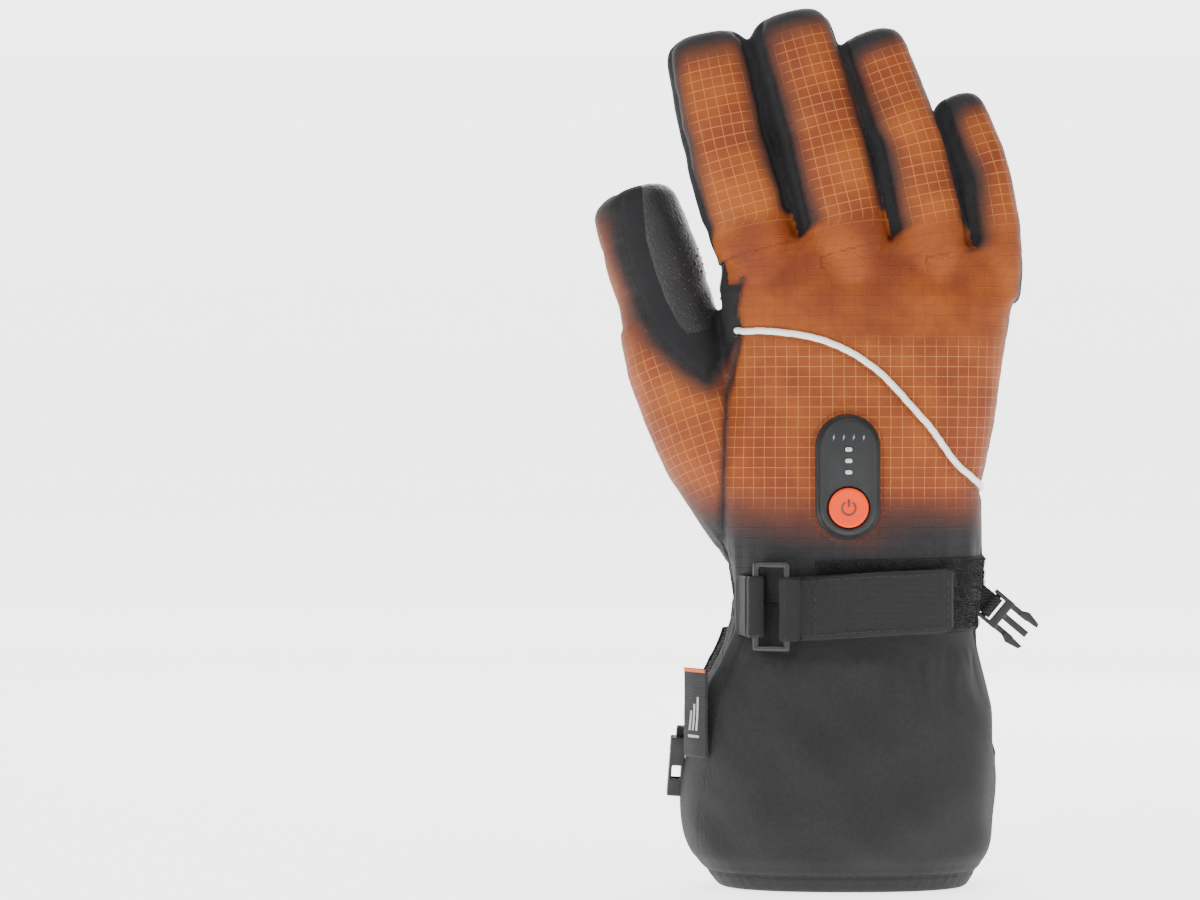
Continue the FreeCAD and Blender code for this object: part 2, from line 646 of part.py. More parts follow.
def build_socket():
    """Socket half, hanging on webbing down the thumb's side of the gauntlet."""
    turn = axes_along(V(-socket_lean, 0, -1), V(-1, 0, 0))
    half_w, half_d = clip_width / 2 + 0.8, clip_depth / 2 + 0.7
    body = bar_end(half_w, half_d, socket_length)
    room_w, room_d = clip_width / 2 - 0.8, 1.75
    body = body.cut(block(-room_w, room_w, -room_d, room_d, 5.2, socket_length + 1))
    body = body.cut(block(-half_w - 1, half_w + 1, -room_d, room_d, 8.5, 13.5))
    export("clip_socket", placed(body, socket_pivot, turn))
    side = block(-70, -20, socket_pivot.y - webbing_width / 2, socket_pivot.y + webbing_width / 2, 0, 200)
    strip = layer(socket_pivot.z + 2, 97, -1.5, 1.2).common(side)
    w = webbing_width / 2
    seam = block(0, 5, -w, w, 2.6, 6.2)
    seam.translate(socket_pivot)
    fold = placed(webbing_fold(4), socket_pivot, turn).fuse(seam)
    export("socket_webbing", strip.fuse(fold.cut(tube(40, 70, -0.3))))


# --- drawcord ---
strand_routes = {
    "drawcord_strand_a": [V(46.7, 36.3, 21), V(46.7, 36.3, 11), V(44.6, 39.2, 4.4), V(37.0, 44.4, 2.2),
                          V(27.4, 46.2, 2.0), V(19.6, 43.2, 3.4), V(16.2, 37.4, 5.2)],
    "drawcord_strand_b": [V(49.3, 34.5, 21), V(49.3, 34.5, 11), V(51.4, 38.6, 4.4), V(47.6, 47.6, 1.9),
                          V(37.4, 53.4, 1.7), V(25.4, 54.0, 1.8), V(15.2, 49.6, 2.0), V(9.8, 43.4, 3.4),
                          V(9.2, 38.0, 5.2)],
}


def rounded_path(points):
    """Straight runs joined by tangent arcs, as large as their two runs allow."""
    edges, radii, start = [], [], points[0]
    for before, corner, after in zip(points, points[1:], points[2:]):
        back, ahead = before - corner, after - corner
        shorter = min(back.Length, ahead.Length)
        back.normalize()
        ahead.normalize()
        half_turn = (math.pi - back.getAngle(ahead)) / 2
        reach = 0.45 * shorter
        radii.append(reach / math.tan(half_turn))
        enter, leave = corner + back * reach, corner + ahead * reach
        bisector = (back + ahead).normalize()
        centre = corner + bisector * (radii[-1] / math.cos(half_turn))
        middle = centre - bisector * radii[-1]
        edges.append(Part.LineSegment(start, enter).toShape())
        edges.append(Part.Arc(enter, middle, leave).toShape())
        start = leave
    edges.append(Part.LineSegment(start, points[-1]).toShape())
    return Part.Wire(edges), radii


def build_drawcord():
    for name, points in strand_routes.items():
        path, radii = rounded_path(points)
        circle = Part.Wire(Part.Circle(points[0], points[1] - points[0], cord_radius).toShape())
        strand = path.makePipeShell([circle], True, False)
        share = strand.Volume / (math.pi * cord_radius ** 2 * path.Length)
        print(name, "length", round(path.Length, 1), "volume share", round(share, 3))
        print("radii", [round(r, 1) for r in radii])
        export(name, strand)
    eyelets = []
    hem = tube(-5, 20, -0.1)
    for points in strand_routes.values():
        end = points[-1]
        direction = (points[-1] - points[-2]).normalize()
        ring = Part.makeCylinder(2.6, 2.4, end - direction * 0.9, direction)
        hole = Part.makeCylinder(cord_radius + 0.15, 10, end - direction * 5, direction)
        eyelets.append(ring.cut(hole).cut(hem))
    export("hem_eyelets", *eyelets)


def lock_turned(shape):
    shape.rotate(lock_centre, V(0, 0, 1), -lock_turn)
    return shape


def build_cord_lock():
    c = lock_centre
    half = lock_length / 2
    body = Part.makeCylinder(lock_radius, lock_length, c - V(half, 0, 0), V(1, 0, 0))
    body = body.makeFillet(0.8, [e for e in body.Edges if abs(e.CenterOfMass.x - (c.x + half)) < 1e-6])
    bore_end = c.x + half - 1.2
    bore = Part.makeCylinder(plunger_radius + plunger_gap, bore_end - (c.x - half) + 1,
                             V(c.x - half - 1, c.y, c.z), V(1, 0, 0))
    slot_x, slot_y = lock_slot
    slot = block(c.x - slot_x / 2, c.x + slot_x / 2, c.y - slot_y / 2, c.y + slot_y / 2, c.z - 10, c.z + 10)
    export("cord_lock_body", lock_turned(body.cut(bore).cut(slot)))
    # plunger: head outside, stem in the bore, its slot as long as the body's plus the travel
    head_x = c.x - half - lock_travel - 0.2
    head = Part.makeCylinder(lock_radius - 0.2, 5.0, V(head_x - 5.0, c.y, c.z), V(1, 0, 0))
    head = head.makeFillet(1.4, [e for e in head.Edges if abs(e.CenterOfMass.x - (head_x - 5.0)) < 1e-6])
    stem_end = bore_end - lock_travel - 0.9
    stem = Part.makeCylinder(plunger_radius, stem_end - head_x + 1, V(head_x - 1, c.y, c.z), V(1, 0, 0))
    stem_slot = block(c.x - slot_x / 2 - lock_travel, c.x + slot_x / 2,
                      c.y - slot_y / 2, c.y + slot_y / 2, c.z - 10, c.z + 10)
    export("cord_lock_button", lock_turned(head.fuse(stem.cut(stem_slot))))


def build_cord_tab():
    """Webbing from the side seam down to the cord lock."""
    band = block(0, 80, -3.6, 3.6, -22, 24)
    band.rotate(V(0, 0, 0), V(1, 0, 0), 33)
    band.translate(V(0, 21.5, 32))
    tab = layer(8, 60, -1.5, 1.2).common(band)
    export("cord_lock_tab", tab)


# --- label ---
def build_label():
    """Blank woven label folded out of the thumb side's seam."""
    start, end = V(-58.8, -7.0, 50), V(-51.0, -20.6, 50)
    along = (end - start).normalize()
    outward = V(along.y, -along.x, 0)
    if outward.x > 0:
        outward = outward * -1
    corners = [start, end, end + outward * 0.9, start + outward * 0.9, start]
    export("side_label", Part.Face(Part.makePolygon(corners)).extrude(V(0, 0, 33)))


def build_all():
    build_fingers()
    build_thumb()
    build_hand()
    build_cuff()
    build_piping()
    build_controller()
    build_heater()
    build_battery()
    build_zip()
    build_strap()
    build_clip()
    build_socket()
    build_drawcord()
    build_cord_lock()
    build_cord_tab()
    build_label()


build_all()
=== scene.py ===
import bpy
import bmesh
import math
import random
import numpy as np
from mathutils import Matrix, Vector, noise
from mathutils.bvhtree import BVHTree


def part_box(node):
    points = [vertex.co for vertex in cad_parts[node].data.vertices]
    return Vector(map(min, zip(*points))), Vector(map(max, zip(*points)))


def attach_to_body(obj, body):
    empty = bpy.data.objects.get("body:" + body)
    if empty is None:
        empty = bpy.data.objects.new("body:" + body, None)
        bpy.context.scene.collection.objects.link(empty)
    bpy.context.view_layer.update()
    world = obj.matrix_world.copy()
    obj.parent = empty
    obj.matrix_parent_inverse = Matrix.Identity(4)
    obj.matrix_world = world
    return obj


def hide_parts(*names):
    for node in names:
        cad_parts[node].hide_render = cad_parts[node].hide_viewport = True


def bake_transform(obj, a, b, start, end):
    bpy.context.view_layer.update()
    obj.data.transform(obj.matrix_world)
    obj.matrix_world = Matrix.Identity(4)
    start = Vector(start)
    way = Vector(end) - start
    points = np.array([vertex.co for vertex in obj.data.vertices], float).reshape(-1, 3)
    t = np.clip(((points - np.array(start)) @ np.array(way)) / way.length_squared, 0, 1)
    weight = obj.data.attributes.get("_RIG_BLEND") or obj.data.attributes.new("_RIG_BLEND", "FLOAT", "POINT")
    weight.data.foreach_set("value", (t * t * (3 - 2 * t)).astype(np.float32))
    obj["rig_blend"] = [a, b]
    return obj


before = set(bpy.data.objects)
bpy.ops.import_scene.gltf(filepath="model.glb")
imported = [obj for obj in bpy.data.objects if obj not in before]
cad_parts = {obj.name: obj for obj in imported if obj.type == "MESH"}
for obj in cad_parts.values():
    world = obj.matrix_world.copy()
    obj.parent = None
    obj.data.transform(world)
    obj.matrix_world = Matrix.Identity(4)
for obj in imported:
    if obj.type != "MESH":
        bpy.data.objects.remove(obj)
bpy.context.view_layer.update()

mm = 0.001
random.seed(7)
scene = bpy.context.scene

view = {
    "aim": (-90.5, 0, 164.0), "distance": 1507, "lens": 120, "sensor": 36,
    "floorHalf": 4200, "wallAt": 2300, "wallRound": 700, "floorDrop": 0.15,
    "keySize": 0.9, "keyPower": 15, "fillPower": 6.5, "topPower": 9, "rimPower": 6,
    "worldLevel": 0.42, "paperGlow": 2.4,
}


def addCamera():
    data = bpy.data.cameras.new("camera")
    data.lens, data.sensor_width = view["lens"], view["sensor"]
    data.clip_end = 20
    camera = bpy.data.objects.new("camera", data)
    camera.location = Vector((view["aim"][0], -view["distance"], view["aim"][2])) * mm
    camera.rotation_euler = (math.radians(90), 0, 0)
    scene.collection.objects.link(camera)
    scene.camera = camera


def addLight(name, place, aim, size, power):
    data = bpy.data.lights.new(name, "AREA")
    data.shape, data.size, data.energy = "DISK", size, power
    lamp = bpy.data.objects.new(name, data)
    lamp.location = Vector(place) * mm
    lamp.rotation_euler = (Vector(aim) * mm - lamp.location).to_track_quat("-Z", "Y").to_euler()
    scene.collection.objects.link(lamp)


def addStage():
    bm = bmesh.new()
    half, depth = view["floorHalf"] * mm, view["wallAt"] * mm
    profile = [(-half, 0), (depth, 0)]
    turn = view["wallRound"] * mm
    for i in range(1, 13):
        a = math.radians(90) * i / 12
        profile.append((depth + turn * math.sin(a), turn * (1 - math.cos(a))))
    profile.append((depth + turn, half))
    verts = [bm.verts.new((-half, y, z - view["floorDrop"] * mm)) for y, z in profile]
    edges = [bm.edges.new(pair) for pair in zip(verts, verts[1:])]
    swept = bmesh.ops.extrude_edge_only(bm, edges=edges)["geom"]
    moved = [v for v in swept if isinstance(v, bmesh.types.BMVert)]
    bmesh.ops.translate(bm, verts=moved, vec=(2 * half, 0, 0))
    bmesh.ops.recalc_face_normals(bm, faces=bm.faces)
    mesh = bpy.data.meshes.new("studioFloor")
    bm.to_mesh(mesh)
    bm.free()
    floor = bpy.data.objects.new("studioFloor", mesh)
    scene.collection.objects.link(floor)
    paper = bpy.data.materials.new("studioPaper")
    paper.use_nodes = True
    shader = paper.node_tree.nodes["Principled BSDF"]
    shader.inputs["Base Color"].default_value = (0.97, 0.97, 0.97, 1)
    shader.inputs["Roughness"].default_value = 0.9
    shader.inputs["Emission Color"].default_value = (1, 1, 1, 1)
    shader.inputs["Emission Strength"].default_value = view["paperGlow"]
    mesh.materials.append(paper)
    world = bpy.data.worlds.new("studio")
    world.use_nodes = True
    background = world.node_tree.nodes["Background"]
    background.inputs["Color"].default_value = (1, 1, 1, 1)
    background.inputs["Strength"].default_value = view["worldLevel"]
    scene.world = world


addCamera()
addStage()
addLight("keyLight", (-900, -1300, 1100), (0, 0, 170), view["keySize"], view["keyPower"])
addLight("fillLight", (1300, -1100, 500), (0, 0, 150), 1.2, view["fillPower"])
addLight("topLight", (0, -100, 1500), (0, 0, 150), 1.2, view["topPower"])
addLight("palmLight", (300, 1200, 700), (0, 0, 150), 0.9, view["rimPower"])
print("stage: camera and light")


def fromHex(text):
    parts = [int(text[i:i + 2], 16) / 255 for i in (0, 2, 4)]
    return tuple(p / 12.92 if p < 0.04045 else ((p + 0.055) / 1.055) ** 2.4 for p in parts) + (1.0,)


def newPaint(name, roughness=0.6, **sockets):
    paint = bpy.data.materials.new(name)
    paint.use_nodes = True
    tree = paint.node_tree
    shader = tree.nodes["Principled BSDF"]
    shader.inputs["Roughness"].default_value = roughness
    for key, value in sockets.items():
        shader.inputs[key.replace("_", " ")].default_value = value
    return paint, tree, shader


def addNode(tree, kind, inputs=(), **settings):
    node = tree.nodes.new(kind)
    for key, value in settings.items():
        setattr(node, key, value)
    for key, value in dict(inputs).items():
        if isinstance(value, bpy.types.NodeSocket):
            tree.links.new(value, node.inputs[key])
        else:
            node.inputs[key].default_value = value
    return node


def calc(tree, operation, a, b=0.0, c=0.0):
    return addNode(tree, "ShaderNodeMath", {0: a, 1: b, 2: c}, operation=operation).outputs[0]


def ramp(tree, value, low, high, start=0.0, end=1.0):
    inputs = {"Value": value, "From Min": low, "From Max": high, "To Min": start, "To Max": end}
    return addNode(tree, "ShaderNodeMapRange", inputs, interpolation_type="SMOOTHSTEP").outputs[0]


def mixColour(tree, factor, a, b):
    return addNode(tree, "ShaderNodeMix", {0: factor, 6: a, 7: b}, data_type="RGBA").outputs[2]


def mixValue(tree, factor, a, b):
    return addNode(tree, "ShaderNodeMix", {0: factor, 2: a, 3: b}, data_type="FLOAT").outputs[0]


def attribute(tree, name):
    return addNode(tree, "ShaderNodeAttribute", attribute_name=name).outputs["Fac"]


def places(tree):
    return addNode(tree, "ShaderNodeTexCoord").outputs["Object"]


def cloudy(tree, scale, detail=2.0, roughness=0.5, vector=None):
    inputs = {"Vector": vector or places(tree), "Scale": scale, "Detail": detail, "Roughness": roughness}
    return addNode(tree, "ShaderNodeTexNoise", inputs).outputs["Fac"]


def cells(tree, scale, feature="F1"):
    inputs = {"Vector": places(tree), "Scale": scale}
    return addNode(tree, "ShaderNodeTexVoronoi", inputs, feature=feature).outputs["Distance"]


def addBump(tree, shader, height, distance, strength=1.0):
    inputs = {"Height": height, "Distance": distance * mm, "Strength": strength}
    node = addNode(tree, "ShaderNodeBump", inputs)
    before = shader.inputs["Normal"].links
    if before:
        tree.links.new(before[0].from_socket, node.inputs["Normal"])
    tree.links.new(node.outputs["Normal"], shader.inputs["Normal"])


def wavy(tree, coordinate, pitch):
    return calc(tree, "SINE", calc(tree, "MULTIPLY", coordinate, 2 * math.pi / pitch))


def gridLine(tree, coordinate, pitch, width):
    share = calc(tree, "FRACT", calc(tree, "DIVIDE", coordinate, pitch))
    t = calc(tree, "ABSOLUTE", calc(tree, "SUBTRACT", share, 0.5))
    return ramp(tree, t, 0.5 - 0.72 * width / pitch, 0.5 - 0.3 * width / pitch)


def useColour(tree, shader, colour):
    tree.links.new(colour, shader.inputs["Base Color"])


def useRoughness(tree, shader, value):
    tree.links.new(value, shader.inputs["Roughness"])


def smoothStep(low, high, value):
    t = np.clip((value - low) / (high - low), 0, 1)
    return t * t * (3 - 2 * t)


def addPiece(name, mesh, paint=None, smooth=True):
    mesh.name = name
    piece = bpy.data.objects.new(name, mesh)
    scene.collection.objects.link(piece)
    if paint:
        mesh.materials.clear()
        mesh.materials.append(paint)
    if smooth:
        mesh.polygons.foreach_set("use_smooth", [True] * len(mesh.polygons))
    return piece


def meshFrom(bm, name):
    mesh = bpy.data.meshes.new(name)
    bm.to_mesh(mesh)
    bm.free()
    return mesh


def ovalRing(bm, centre, xAxis, yAxis, halfWidth, halfDepth, power=2.4, count=64):
    ring = bmesh.ops.create_circle(bm, segments=count, radius=1)["verts"]
    for v in ring:
        c, s = v.co.x, v.co.y
        x = math.copysign(abs(c) ** (2 / power), c) * halfWidth
        y = math.copysign(abs(s) ** (2 / power), s) * halfDepth
        v.co = (centre + xAxis * x + yAxis * y) * mm
    return ring


def ringEdges(ring):
    inside = set(ring)
    return list({e for v in ring for e in v.link_edges if e.other_vert(v) in inside})


def skinRings(bm, rings, capStart=True, capEnd=True):
    loops = [ringEdges(ring) for ring in rings]
    for a, b in zip(loops, loops[1:]):
        bmesh.ops.bridge_loops(bm, edges=a + b)
    for cap, loop in ((capStart, loops[0]), (capEnd, loops[-1])):
        if cap:
            bmesh.ops.contextual_create(bm, geom=loop)


def leaning(lean, curl):
    a, b = math.radians(lean), math.radians(curl)
    return Vector((-math.sin(a) * math.cos(b), math.sin(b), math.cos(a) * math.cos(b)))


def squared(direction, palm):
    z = direction.normalized()
    x = palm.cross(z).normalized()
    return x, z.cross(x), z


digits = {
    "index": {"knuckle": (-34.5, 0.6, 250.4), "lean": (15.5, 11.5), "curl": (3, 7), "lengths": (30, 43),
              "half": (17.1, 15.6), "roll": -5},
    "middle": {"knuckle": (-0.2, -2.5, 250.6), "lean": (13.5, 15.5), "curl": (3, 6), "lengths": (33, 48),
               "half": (16.9, 15.9), "roll": 12},
    "ring": {"knuckle": (31.6, 0, 248.2), "lean": (12.5, 20.5), "curl": (3, 8), "lengths": (32, 45),
             "half": (14.9, 14.8), "roll": 20},
    "little": {"knuckle": (57.8, 6.5, 242.8), "lean": (8.5, 19), "curl": (4, 10), "lengths": (25, 33),
               "half": (11.5, 12.2), "roll": 33},
    "thumb": {"knuckle": (-66.3, 17.3, 222.6), "lean": (17, 17), "curl": (8, 8), "lengths": (21, 22),
              "half": (18.2, 16.2), "roll": 0, "palm": 42},
}
hand = {
    "sections": [(103, 5, 2, 45, 26), (112, 6, 2, 46.5, 27), (128, 5, 2, 48.3, 27.5), (150, 3, 2, 50.5, 27.6),
                 (180, 8, 2, 51.2, 27.2), (205, 9.5, 2, 53.2, 25.8), (222, 9.5, 2, 56, 22.5),
                 (233, 9.5, 2.2, 55.5, 18), (242, 9.5, 2.2, 52, 13.5)],
    "topSlope": -0.055,
    "thumbRoot": [((-16, 6, 112), 10, 12), ((-27, 8, 128), 17, 18), ((-44, 11, 162), 23, 21.5),
                  ((-60.5, 14.5, 198), 21, 19), ((-65, 16.8, 214), 19.5, 17.5)],
    "voxel": 1.0, "quickVoxel": 1.5, "smoothing": 10,
    "cuts": {"index": -10, "middle": -10, "ring": -10, "little": -10, "thumb": -12}, "floor": 107,
    "backSide": 86, "palmSide": 104, "backFinger": 63, "palmFinger": 125,
}
pipingLine = [(-39, 208.6), (-25, 208), (-10, 205.4), (3, 200), (14, 192), (23.7, 181.6), (32.3, 171.8),
              (41, 160),
              (49.7, 152.4), (54, 148.6)]
thumbBackSeam = [(-84, 268), (-82, 242), (-78, 228), (-74, 217), (-68, 205.5), (-58.5, 196), (-50, 191),
                 (-41, 205),
                 (-37, 217), (-36, 240)]
thumbPalmSeam = [(-85, 262), (-82, 240), (-76.5, 215), (-64, 194), (-50, 172), (-36, 150), (-24.5, 131)]
thumbStripSeam = [(-68, 262), (-63, 235), (-57, 210), (-44, 190), (-30, 168), (-15, 141.8)]
thumbInsetSeam = [(-53, 213), (-42, 199.8), (-35.4, 194.5), (-20.4, 185.9), (-12.8, 171.5), (-10.5, 161),
                  (-14, 142.5)]
thumbHandSeam = [(-30, 250), (-36, 240), (-39.5, 217), (-38.5, 205), (-43, 185), (-44.5, 156), (-45, 132),
                 (-45, 100)]
palmChannels = [[(-44, 197), (-33, 190), (-25, 180), (-21, 171), (-20, 180), (-26, 189)],
                [(48, 195), (24, 193), (10, 189), (1, 183), (14, 181), (30, 178), (48, 172)]]


class Digit:
    pass


def digitFrames():
    frames = {}
    for name, spec in digits.items():
        d = Digit()
        turn = math.radians(spec.get("palm", 0))
        palm = Vector((math.sin(turn), math.cos(turn), 0))
        d.k = Vector(spec["knuckle"])
        d.axes1 = squared(leaning(spec["lean"][0], spec["curl"][0]), palm)
        d.axes2 = squared(leaning(spec["lean"][1], spec["curl"][1]), palm)
        d.l1, d.l2 = spec["lengths"]
        d.m = d.k + d.axes1[2] * d.l1
        d.a, d.b = spec["half"]
        d.roll = math.radians(spec["roll"])
        frames[name] = d
    return frames


frames = digitFrames()


def digitRing(bm, d, s, scaleA, scaleB):
    t = min(max((s - d.l1 + 12) / 24, 0), 1)
    direction = d.axes1[2].lerp(d.axes2[2], t)
    x, y, _ = squared(direction, d.axes1[1])
    centre = d.k + d.axes1[2] * min(s, d.l1) + d.axes2[2] * max(0, s - d.l1)
    return ovalRing(bm, centre, x, y, d.a * scaleA, d.b * scaleB, 2.35, 48)


def gloveForm():
    bm = bmesh.new()
    flat = (Vector((1, 0, hand["topSlope"])).normalized(), Vector((0, 1, 0)))
    level = (Vector((1, 0, 0)), Vector((0, 1, 0)))
    rings = []
    for z, cx, cy, a, b in hand["sections"]:
        x, y = flat if z > 215 else level
        rings.append(ovalRing(bm, Vector((cx, cy, z)), x, y, a, b, 2.4, 96))
    skinRings(bm, rings)
    for name, d in frames.items():
        length = d.l1 + d.l2
        rows = [(-24, 0.62, 1.0), (-12, 0.9, 1.1), (4, 1.0, 1.05), (d.l1 - 8, 0.985, 1.0),
                (d.l1, 0.97, 0.975),
                (d.l1 + 9, 0.98, 0.985), (length - 22, 0.96, 0.95), (length - 11, 0.94, 0.9)]
        if name == "thumb":
            rows = [(-20, 1.05, 1.08), (0, 1.0, 1.0), (12, 0.98, 0.99), (24, 0.95, 0.97), (32, 0.92, 0.91)]
        for degrees in (24, 46, 64, 78, 86):
            a = math.radians(degrees)
            c = math.cos(a)
            rows.append((length - 10.5 + 10.5 * math.sin(a), 0.945 * c ** 0.5, 0.9 * c ** 0.55))
        skinRings(bm, [digitRing(bm, d, *row) for row in rows])
    thumb = frames["thumb"]
    rings = []
    for point, a, b in hand["thumbRoot"]:
        rings.append(ovalRing(bm, Vector(point), thumb.axes1[0], thumb.axes1[1], a, b, 2.1, 64))
    skinRings(bm, rings)
    bmesh.ops.recalc_face_normals(bm, faces=bm.faces)
    return meshFrom(bm, "gloveForm")


def remeshed(mesh, voxel):
    piece = addPiece("formWork", mesh)
    modifier = piece.modifiers.new("remesh", "REMESH")
    modifier.mode, modifier.voxel_size, modifier.use_smooth_shade = "VOXEL", voxel * mm, True
    graph = bpy.context.evaluated_depsgraph_get()
    result = bpy.data.meshes.new_from_object(piece.evaluated_get(graph))
    bpy.data.objects.remove(piece)
    return result


def meshArrays(mesh):
    co = np.empty(len(mesh.vertices) * 3)
    mesh.vertices.foreach_get("co", co)
    edges = np.empty(len(mesh.edges) * 2, int)
    mesh.edges.foreach_get("vertices", edges)
    return co.reshape(-1, 3) / mm, edges.reshape(-1, 2)


def relax(co, edges, rounds, keep=0.5):
    count = np.bincount(edges.ravel(), minlength=len(co))[:, None].clip(1)
    for _ in range(rounds):
        total = np.zeros_like(co)
        for axis in range(3):
            total[:, axis] = (np.bincount(edges[:, 0], co[edges[:, 1], axis], len(co))
                              + np.bincount(edges[:, 1], co[edges[:, 0], axis], len(co)))
        co = co * keep + total / count * (1 - keep)
    return co


def vertexNormals(mesh):
    out = np.empty(len(mesh.vertices) * 3)
    mesh.vertex_normals.foreach_get("vector", out)
    return out.reshape(-1, 3)


def rough(points, scale, seed=0.0):
    shift = Vector((seed, seed * 1.7, -seed))
    return np.array([noise.noise(Vector(p) / scale + shift) for p in points])


def lineField(x, z, points):
    best = np.full(len(x), 1e9)
    side, along = np.zeros(len(x)), np.zeros(len(x))
    run = 0.0
    for (x0, z0), (x1, z1) in zip(points, points[1:]):
        dx, dz = x1 - x0, z1 - z0
        length = math.hypot(dx, dz)
        t = np.clip(((x - x0) * dx + (z - z0) * dz) / length ** 2, 0, 1)
        distance = np.hypot(x - x0 - t * dx, z - z0 - t * dz)
        nearer = distance < best
        best = np.where(nearer, distance, best)
        side = np.where(nearer, np.sign(dx * (z - z0) - dz * (x - x0)), side)
        along = np.where(nearer, run + t * length, along)
        run += length
    return best, side, along


def handAngles(p):
    rows = np.array(hand["sections"], float)
    cx, cy, a, b = (np.interp(p[:, 2], rows[:, 0], rows[:, i]) for i in (1, 2, 3, 4))
    return np.arctan2((p[:, 0] - cx) / a, -(p[:, 1] - cy) / b), cx, a, b


def ovalArc(angle, a):
    fine = np.linspace(0, math.pi, 400)
    x, y = np.abs(np.sin(fine)) ** (2 / 2.4) * 50, np.abs(np.cos(fine)) ** (2 / 2.4) * 26
    y = np.where(fine > math.pi / 2, -y, y)
    steps = np.concatenate([[0], np.cumsum(np.hypot(np.diff(x), np.diff(y)))])
    real = np.arctan2(x / 50, y / 26)
    return np.interp(np.abs(angle), real, steps) * np.sign(angle) * a / 50, steps[-1] * a / 50


def digitPlaces(p, d):
    def local(origin, axes):
        q = p - np.array(origin)
        return [q @ np.array(axis) for axis in axes]

    x1, y1, s1 = local(d.k, d.axes1)
    x2, y2, s2 = local(d.m, d.axes2)
    w = smoothStep(d.l1 - 8, d.l1 + 8, s1)
    x, y, s = x1 + (x2 - x1) * w, y1 + (y2 - y1) * w, s1 + (s2 + d.l1 - s1) * w
    c, r = math.cos(d.roll), math.sin(d.roll)
    angle = np.arctan2(x * c + y * r, x * r - y * c)
    reach = np.hypot(x / d.a, y / d.b)
    return x, y, s, angle, reach


